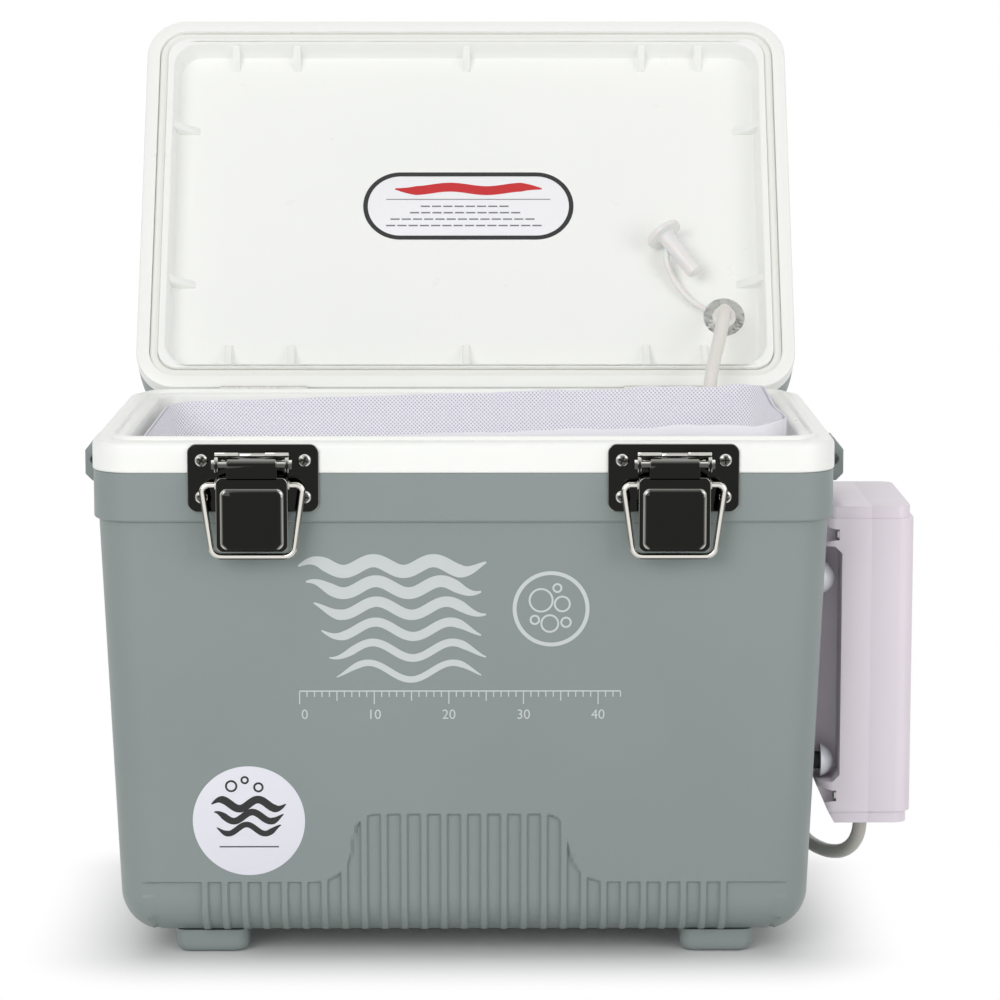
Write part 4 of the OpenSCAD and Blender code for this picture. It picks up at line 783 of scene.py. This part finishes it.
def ring_sector(y, z, inner, outer, start, end):
    """Part of a flat ring, out along its outer edge and back along its inner one."""
    angles = arc_steps(14, start, end)
    return [(y + r * math.cos(t), z + r * math.sin(t))
            for r, way in ((outer, angles), (inner, angles[::-1])) for t in way]


def carve(obj, tool):
    """Takes a tool's volume out of a finished piece and removes the tool."""
    modifier = obj.modifiers.new("cut", "BOOLEAN")
    modifier.operation, modifier.solver, modifier.object = "DIFFERENCE", "EXACT", tool
    graph = bpy.context.evaluated_depsgraph_get()
    mesh = bpy.data.meshes.new_from_object(obj.evaluated_get(graph))
    obj.modifiers.clear()
    obj.data = mesh
    mesh.set_sharp_from_angle(angle=math.radians(32))
    bpy.data.objects.remove(tool)


for side, x0 in (("left", -LATCH_X), ("right", LATCH_X)):
    plate = Shape()
    outline = rounded_outline(PLATE_HALF, 186.5, 213.7, 3.5, mid=x0)
    plate.prism(outline, FRONT, FRONT - PLATE_THICK, bevel=0.45, segments=3)
    ear = [(PIN_Y + EAR_R * math.cos(t), PIN_Z + EAR_R * math.sin(t)) for t in arc_steps(14, 90, 270)]
    ear += [(FRONT - 0.6, PIN_Z - EAR_R), (FRONT - 0.6, PIN_Z + EAR_R)]
    for low, high in ((-EAR_OUT, -EAR_IN), (EAR_IN, EAR_OUT)):
        plate.prism(ear, x0 + low, x0 + high, "yz", bevel=0.25)
    plate.box((x0 - EAR_OUT, PIN_Y + 3.7, PIN_Z - 1.2), (x0 + EAR_OUT, FRONT - 0.6, PIN_Z + 0.4), bevel=0.2)
    settle(plate.make("latch_base_" + side, dark_steel, 32), "box", "polished_steel", "latch_plate_" + side)
    bridge = Shape()
    for low, high, end, bevel in ((-EAR_OUT, -SLOT_HALF, 94, 0.25), (SLOT_HALF, EAR_OUT, 94, 0.25),
                                  (-SLOT_HALF - 0.1, SLOT_HALF + 0.1, 72, 0.2)):
        bridge.prism(ring_sector(PIN_Y, PIN_Z, BRIDGE_IN, BRIDGE_OUT, -8, end), x0 + low, x0 + high, "yz",
                     bevel=bevel)
    settle(bridge.make("latch_bridge_" + side, bridge_steel, 32), "box", "polished_steel")

    lever = Shape()
    sheet = PIN_Y - 2.7
    lever.turned([(2.2, -10), (2.7, -9.5), (2.7, 9.5), (2.2, 10)], (x0, PIN_Y, PIN_Z), (1, 0, 0), 40)
    lever.prism(rounded_outline(10, 200.4, PIN_Z, 0.4, 2, x0), sheet, sheet + LEVER_THICK, bevel=0.2)
    lever.prism(rounded_outline(WING_OUT, 171.9, 201.4, 2.6, 6, x0), sheet, sheet + LEVER_THICK, bevel=0.35,
                segments=3)
    wing = [(sheet + 0.2, 201), (-98.6, 201), (-98.3, 200), (-98.3, 193.6), (-100.5, 182), (sheet + 0.2, 182)]
    for low, high in ((-WING_OUT, -WING_IN), (WING_IN, WING_OUT)):
        lever.prism(wing, x0 + low, x0 + high, "yz", bevel=0.3)
    pad = [(0.0, 0.0), (0.1, 0.35), (0.5, 0.8), (1.2, 1.15), (2.4, 1.45), (4.2, 1.7), (6.5, 1.86),
           (9.0, 1.95), (10.8, 1.96)]
    lever.loft([[(x, sheet + 0.1 - rise, z) for x, z in
                 rounded_outline(12.7 - e, 172.6 + e, 197.2 - e, max(3 - e * 0.2, 1), 6, x0)]
                for e, rise in pad])
    settle(lever.make("latch_arm_" + side, lever_steel, 30), "lever_" + side, "polished_steel",
           "latch_lever_" + side)

    corners = ((-8, 0), (-BAIL_TOP, 0), (-BAIL_FOOT, BAIL_DROP), (BAIL_FOOT, BAIL_DROP), (BAIL_TOP, 0),
               (8, 0))
    wire = fillet([(x0 + x, BAIL_Y, BAIL_Z - drop) for x, drop in corners], [2.6, 4, 4, 2.6], 10)
    bail = Shape().rod(wire, WIRE_R, 20, (0, 1, 0))
    settle(bail.make("latch_wire_" + side, wire_steel, 60), "bail_" + side, "polished_steel",
           "latch_bail_" + side)
dress(screw_steel, "lever_pins")
heads, crosses, recess_shade = Shape(), Shape(), Shape()
screw = [(1.5, -8), (1.5, 0.02), (2.55, 0.0), (2.7, 0.12), (2.62, 0.4), (2.3, 0.85), (1.7, 1.18), (0.9, 1.36),
         (0.02, 1.4)]
arm = [(0.32, 0.32), (1.5, 0.32), (1.5, -0.32)]
random.seed(5)
for x0 in (-LATCH_X, LATCH_X):
    for dx in (-SCREW_X, SCREW_X):
        for z in SCREWS_Z:
            heads.turned(screw, (x0 + dx, FRONT - PLATE_THICK, z), (0, -1, 0), 32)
            turn = random.uniform(0, 90)
            plus = [(x0 + dx + x * math.cos(q) - y * math.sin(q), z + x * math.sin(q) + y * math.cos(q))
                    for q in (math.radians(turn - 90 * k) for k in range(4)) for x, y in arm]
            crosses.prism(plus, FRONT - 1.8, FRONT - 4)
            # A thin dark sheet inside each cut cross is painted shade, so the recess shows dark on the
            # polished head.
            recess_shade.prism(plus, FRONT - 1.7, FRONT - 2.05)
heads = heads.make("latch_screw_heads", screw_steel, 40)
carve(heads, crosses.make("crosses", screw_steel))
settle(heads, "box", "polished_steel", "latch_screws")
settle(recess_shade.make("latch_screw_recess_shade", dark_steel), "box", "polished_steel")
dress(bright_steel, "bail_sleeve_left", "bail_sleeve_right")

# Lid.
# Built shut and then swung open about the hinge pins: a grey outer shell with a soft top edge, foam, and a
# white inner moulding with a gasket groove and a shallow pan braced by short fins.
OPEN = math.radians(-120)
HINGE = Vector((0, 97.4, 212.8))
swing = Matrix.Translation(HINGE) @ Matrix.Rotation(OPEN, 4, "X") @ Matrix.Translation(-HINGE)
LID_Z, LID_TOP, SHELL_Z, PAN_Z = 214.8, 249.8, 224.8, 225.8
NOTCH_HALF, NOTCH_LOW, NOTCH_HIGH, NOTCH_DEEP = 18.5, 217, 238.8, 2.2
FIN_HALF, FIN_LOW, FIN_ROOT = 1.75, 216.8, 226.2


def cut(obj, low, high):
    """Cuts a box out of a finished piece. The box is given on the shut lid, in millimetres."""
    carve(obj, Shape().box(low, high).make("cutter", grey_plastic, move=swing))


edge = [(7.4 - 7.15 * math.cos(t), 241.95 + 7.6 * math.sin(t)) for t in arc_steps(9, 8, 88)]
rings = [rounded_ring(RIM_X - e, RIM_Y - e, EDGE_R - min(e, 13), z, corner=12) for e, z in
         [(4.5, 244.7), (4.5, 224.9), (0.3, SHELL_Z), (0.0, 225.1), (0.0, 235.2), (0.25, 241.8)] + edge]
lid_shell = Shape().loft(rings).make("lid_outer", grey_plastic, 32, swing)
rings = [rounded_ring(RIM_X - e, RIM_Y - e, r, z, corner=12) for e, z, r in
         ((10.5, 228.2, 12), (10.5, 220.6, 12), (4.6, 220.5, 13.5), (4.5, 224.7, 13.5), (0.4, SHELL_Z, 17.6),
          (0.0, 224.4, EDGE_R), (0.0, 216, EDGE_R), (0.35, 215.2, 17.7), (1.2, LID_Z, 17), (5.6, LID_Z, 13),
          (5.8, 215, 12.8), (5.8, 218, 12.8), (9.8, 218, 9), (9.8, 215, 9), (10.0, LID_Z, 9),
          (11.4, LID_Z, 9))]
for e, z in ((0.0, LID_Z), (0.7, 214.95), (1.15, 215.4), (1.4, 216.2), (2.1, 221.2), (2.5, 223.6),
             (3.6, 225.2), (5.6, PAN_Z)):
    rings.append(rounded_ring(137.2 - e, 83.4 - e, 12 - min(e, 4) * 0.5, z, corner=12, mid_y=0.25))
lid_liner = Shape().loft(rings).make("lid_inner", white_plastic, 32, swing)
for x0 in (-LATCH_X, LATCH_X):
    for piece in (lid_shell, lid_liner):
        cut(piece, (x0 - NOTCH_HALF, FRONT - 1, NOTCH_LOW), (x0 + NOTCH_HALF, FRONT + NOTCH_DEEP, NOTCH_HIGH))
settle(lid_shell, "lid", "grey_plastic", "lid_shell")
settle(lid_liner, "lid", "white_plastic", "lid_liner")
fins = Shape()


def fin(at, across, plane, way, reach, slope):
    """A short brace that stands at the lid's wall and slopes down to the pan."""
    profile = ((-1.5, FIN_ROOT), (-1.5, FIN_LOW), (0.6, FIN_LOW), slope, (reach, SHELL_Z),
               (reach + 0.8, FIN_ROOT))
    fins.prism([(at + way * out, z) for out, z in profile], across - FIN_HALF, across + FIN_HALF, plane,
               bevel=0.7, segments=3)


for x in (-108, -79.5, 0, 82, 108.5):
    for y, way, reach in ((82.5, -1, 14), (-82, 1, 9)):
        fin(y, x, "yz", way, reach, (reach * 0.35, 220.4))
for y in (-41, 38):
    for x, way in ((136, -1), (-136, 1)):
        fin(x, y, "xz", way, 11.5, (4.4, 220.6))
settle(fins.make("lid_fins", white_plastic, 32, swing), "lid", "white_plastic")
dress(foam_paint, "lid_foam")
gasket_paint = moulded("gasket", srgb(244, 244, 240), 0.6, srgb(238, 238, 232), 2500.0, 0.00005)
gasket = Shape()
section = ((5.95, 217.9), (5.95, 217.2), (6.3, 216.8), (7.8, 216.6), (9.3, 216.8), (9.65, 217.2),
           (9.65, 217.9))
gasket.loft([rounded_ring(RIM_X - e, RIM_Y - e, EDGE_R - e, z, sides=6, corner=12) for e, z in section], True)
settle(gasket.make("lid_seal", gasket_paint, 40, swing), "lid", "gasket", "lid_gasket")
dress(dark_steel, "keeper_left", "keeper_right")
dress(bright_steel, "keeper_screws")

# Label in the lid.
# An oval of white film with an adhesive back, stuck on the pan. It is printed with a black border, a wavy red
# stripe and rows of short grey lines.
LABEL_X, LABEL_Y, LABEL_HALF, LABEL_R = 1, -2.3, 48.8, 17.5
label_paint = moulded("label", srgb(250, 250, 252), 0.35, srgb(244, 244, 248), 900.0, 0.00001)
label = Shape()
label.loft([[(LABEL_X + x, LABEL_Y + y, PAN_Z - lift)
             for x, y in rounded_outline(LABEL_HALF - e, e - LABEL_R, LABEL_R - e, LABEL_R - 0.01 - e, 20)]
            for e, lift in ((0, 0.0), (0, 0.22), (0.2, 0.3))])
settle(label.make("label_film", label_paint, 30, swing), "lid", "sticker", "lid_label")
facing = swing.to_3x3() @ Vector((0, 0, -1))


def label_print():
    return Print(lambda x, y: (LABEL_X + x, LABEL_Y + y, PAN_Z - 0.36))


border = label_print()
border.strip(rounded_outline(47.6, -16.3, 16.3, 16.25, 20), 2.1, True)
border.make("label_border", dark_ink, "lid", "sticker", swing, facing)
red_ink = moulded("red_ink", srgb(206, 40, 44), 0.4, srgb(190, 32, 38), 900.0, 0.00001)
stripe = label_print()
stripe.wave(-34, 34, -8.8, 0.9, 34, 4.6)
stripe.make("label_stripe", red_ink, "lid", "sticker", swing, facing)
grey_ink = moulded("grey_ink", srgb(120, 120, 124), 0.45, srgb(110, 110, 112), 900.0, 0.00001)
lines = label_print()
for row, half in enumerate((22, 27, 36, 38)):
    for k in range(int(half / 2.6)):
        x, y = -half + 5.2 * k, 0.2 + 3.3 * row
        lines.strip([(x, y), (x + 4.2, y)], 0.7)
lines.strip([(-38, -3.4), (38, -3.4)], 0.4)
lines.make("label_lines", grey_ink, "lid", "sticker", swing, facing)

# Port grommet and plug.
# Two mouldings in translucent silicone: a flanged grommet that is pressed in the lid and grips the hose, and
# a round-headed stopper that hangs from the port on its strap.
silicone = moulded("silicone", srgb(240, 240, 237), 0.32, srgb(224, 224, 220), 600.0, 0.00001,
                   Subsurface_Weight=0.25, Subsurface_Scale=0.002)
PORT = (118, 54.2, LID_TOP + 2)
grommet = Shape()
grommet.turned([(9.6, 0), (10.3, 0.25), (10.5, 0.9), (10.3, 1.6), (9.6, 1.95), (6.5, 2.0), (6.5, 24),
                (9.6, 24.1), (10.3, 24.4), (10.5, 25.2), (10.2, 25.8), (9.4, 26.0), (5.4, 26.0), (4.9, 27.6),
                (4.2, 28.0), (3.05, 28.0), (3.05, 23)], PORT, (0, 0, -1), 48)
settle(grommet.make("port_ring", silicone, 40, swing), "lid", "clear_silicone", "port_grommet")
plug = Shape()
head = Vector((91.5, 17.5, PAN_Z - 9))
tip = Vector((105, 37.3, PAN_Z - 11))
plug.turned([(7.8, -2.4), (8.5, -2.1), (8.7, -1.2), (8.5, -0.3), (7.8, 0.05), (4.3, 0.3), (3.7, 1.2),
             (3.7, 22.0), (3.3, 23.4), (2.4, 23.9)], head, tip - head, 48)
strap = spline([head + Vector((0.5, 6, 1)), (92.0, 30, PAN_Z - 6.6), (94.5, 36, PAN_Z - 4.2),
                (99, 43, PAN_Z - 3.0), (104.5, 48.4, PAN_Z - 2.4), (109.5, 51.4, PAN_Z - 1.9)], 6)
plug.rod(strap, 1.45, 12, (0, 0, 1))
settle(plug.make("port_stopper", silicone, 40, swing), "lid", "clear_silicone", "port_plug")

# Air pump.
# Two lavender-grey case halves on a black bracket, with white button studs on rubber bushes. The cells, the
# motor and the diaphragm are inside.
pump_plastic = moulded("pump_plastic", srgb(236, 226, 235), 0.36, srgb(224, 216, 226), 1600.0)
stud_plastic = moulded("stud_plastic", srgb(240, 240, 246), 0.25, srgb(226, 226, 234), 900.0, 0.00001)
black_plastic = moulded("black_plastic", srgb(48, 48, 50), 0.5, srgb(34, 34, 36))
black_rubber = moulded("black_rubber", srgb(30, 30, 32), 0.65, srgb(42, 42, 44), 2200.0)
jacket_paint = moulded("cell_jacket", srgb(188, 152, 62), 0.3, srgb(160, 124, 44), 500.0, 0.00001)
board_paint = moulded("board", srgb(40, 104, 62), 0.45, srgb(28, 82, 48), 500.0)
stone_paint = moulded("stone", srgb(150, 172, 196), 0.95, srgb(112, 132, 158), 900.0, 0.0006, 0.9)
for half in ("inner", "outer"):
    softened("pump_shell_" + half, "pump_case_" + half, pump_plastic, "box", "pump_plastic", 0.8)
dress(black_plastic, "pump_bracket", "switch_knob")
dress(stud_plastic, "pump_studs")
dress(black_rubber, "stud_bushes", "pump_case_seal", "diaphragm")
dress(plain_steel, "pump_case_screws", "battery_contacts", "pump_motor")
dress(jacket_paint, "battery_upper", "battery_lower")
dress(white_plastic, "air_head", "motor_eccentric", "diaphragm_rod")
dress(board_paint, "circuit_board")
dress(stone_paint, "airstone")

# Net bag.
# Fine white mesh sewn to a folded hem. It hangs loosely in the tub, with its mouth tilted as in the
# photograph, and bellies and puckers a little between its corners.
net_paint = Paint("net", srgb(244, 243, 248), 0.75, Sheen_Weight=0.5)
run, rise, _ = net_paint.axes(net_paint.node("UVMap", settings={"uv_map": "weave"}))
MESH = 1.7
thread_a = abs(((run + rise) * (math.pi / MESH)).sin())
thread_b = abs(((run - rise) * (math.pi / MESH)).sin())
hole = thread_a.math("MINIMUM", thread_b).ramp(0.35, 0.6)
weave_and_glow = net_paint.tint(hole, srgb(200, 198, 208))
# The weave's colour also feeds a faint emission: a painted glow that brightens the net as if light shone
# through it.
net_paint.feed(Emission_Color=weave_and_glow, Emission_Strength=0.15, Alpha=1 - hole * 0.12)
net_paint.bump(hole * -1.0, 0.5, 0.0003)
NET_X, NET_Y, NET_R, NET_MID_Y, NET_LOW = 130.2, 72.4, 14, -4, 45.2
HEM_DEEP, HEM_OUT, FLOOR_FROM = 8.0, 0.3, 0.82
net_columns = [-110 + 5 * k for k in range(45)]


def mouth_z(x, y):
    """The height of the bag's mouth, which droops in small waves that grow to the right."""
    loose = 0.25 + 0.9 * max(0.0, x + 10) / 140
    droop = 0.6 * math.sin(0.13 * x + 0.05 * y) + 0.4 * math.sin(0.31 * x - 0.07 * y + 1)
    return 216.1 + 0.03 * x + loose * droop


def net_ring(half_x, half_y, radius):
    return rounded_ring(half_x, half_y, radius, 0, front=net_columns, sides=40, corner=8, mid_y=NET_MID_Y)


random.seed(11)
waves = [(random.uniform(1, 7), random.uniform(0, 6.28), random.uniform(0.2, 0.6)) for _ in range(8)]
levels = [0.0, 0.03, 0.08, 0.15, 0.25, 0.36, 0.48, 0.6, 0.72, 0.82, 0.9, 0.95, 0.98, 1.0]
net_rings = []
for level in levels:
    sink = max(0.0, (level - FLOOR_FROM) / (1 - FLOOR_FROM))
    inward = 14 * sink * sink
    ring = net_ring(NET_X - 11.6 * level - inward, NET_Y - 13.5 * level - inward, NET_R - 4 * sink)
    swell = math.sin(math.pi * min(1, level * 1.1)) * 0.8
    moved = []
    for k, (x, y, _) in enumerate(ring):
        z = mouth_z(x, y) - 0.6 - (mouth_z(x, y) - NET_LOW) * level
        turn = 6 * math.pi * k / len(ring)
        pucker = swell * sum(size * math.sin(rate * turn + phase + level * 4) for rate, phase, size in waves)
        pucker *= 1 + 0.6 * max(0.0, x / 130)
        away = Vector((x, y - NET_MID_Y, 0)).normalized() * (1.0 + pucker)
        moved.append((x - away.x, y - away.y, z))
    net_rings.append(moved)
count = len(net_rings[0])
points = [p for ring in net_rings for p in ring]
faces = [(a * count + k, a * count + (k + 1) % count, (a + 1) * count + (k + 1) % count, (a + 1) * count + k)
         for a in range(len(levels) - 1) for k in range(count)]
faces.append(tuple(range(len(points) - count, len(points))))
mesh = bpy.data.meshes.new("net_cloth")
mesh.from_pydata([tuple(v * MM for v in p) for p in points], [], faces)
layer = mesh.uv_layers.new(name="weave")
edge = [0.0]
for a, b in zip(net_rings[0], net_rings[0][1:] + net_rings[0][:1]):
    edge.append(edge[-1] + (Vector(b) - Vector(a)).length)
for face in mesh.polygons:
    for corner in face.loop_indices:
        vertex = mesh.loops[corner].vertex_index
        ring_no, k = divmod(vertex, count)
        if len(face.vertices) > 4:
            layer.data[corner].uv = (points[vertex][0], points[vertex][1])
        else:
            wrap = edge[count] if k == 0 and max(v % count for v in face.vertices) == count - 1 else edge[k]
            layer.data[corner].uv = (wrap, points[ring_no * count + k][2])
net = settle(finished("net_cloth", mesh, net_paint.material, 180), "box", "net", "bait_net")
hem_paint = moulded("hem", srgb(238, 237, 244), 0.7, srgb(224, 222, 232), 1800.0, 0.0002, Sheen_Weight=0.3)
hem_rings = []
for out, drop in ((0.0, 0.1), (HEM_OUT, -0.3), (HEM_OUT, 0.4 - HEM_DEEP), (0.0, -HEM_DEEP),
                  (-0.4, 0.4 - HEM_DEEP), (-0.4, -0.3)):
    ring = []
    for x, y, _ in net_ring(130.6, 72.6, NET_R):
        aside = out * math.copysign(1, x) if abs(x) > 117 else 0
        ahead = out * math.copysign(1, y - NET_MID_Y) if abs(y - NET_MID_Y) > 59 else 0
        ring.append((x + aside, y + ahead, mouth_z(x, y) + drop - 0.4))
    hem_rings.append(ring)
hem = settle(Shape().loft(hem_rings, True).make("net_hem", hem_paint, 40), "box", "net")

low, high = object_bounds()
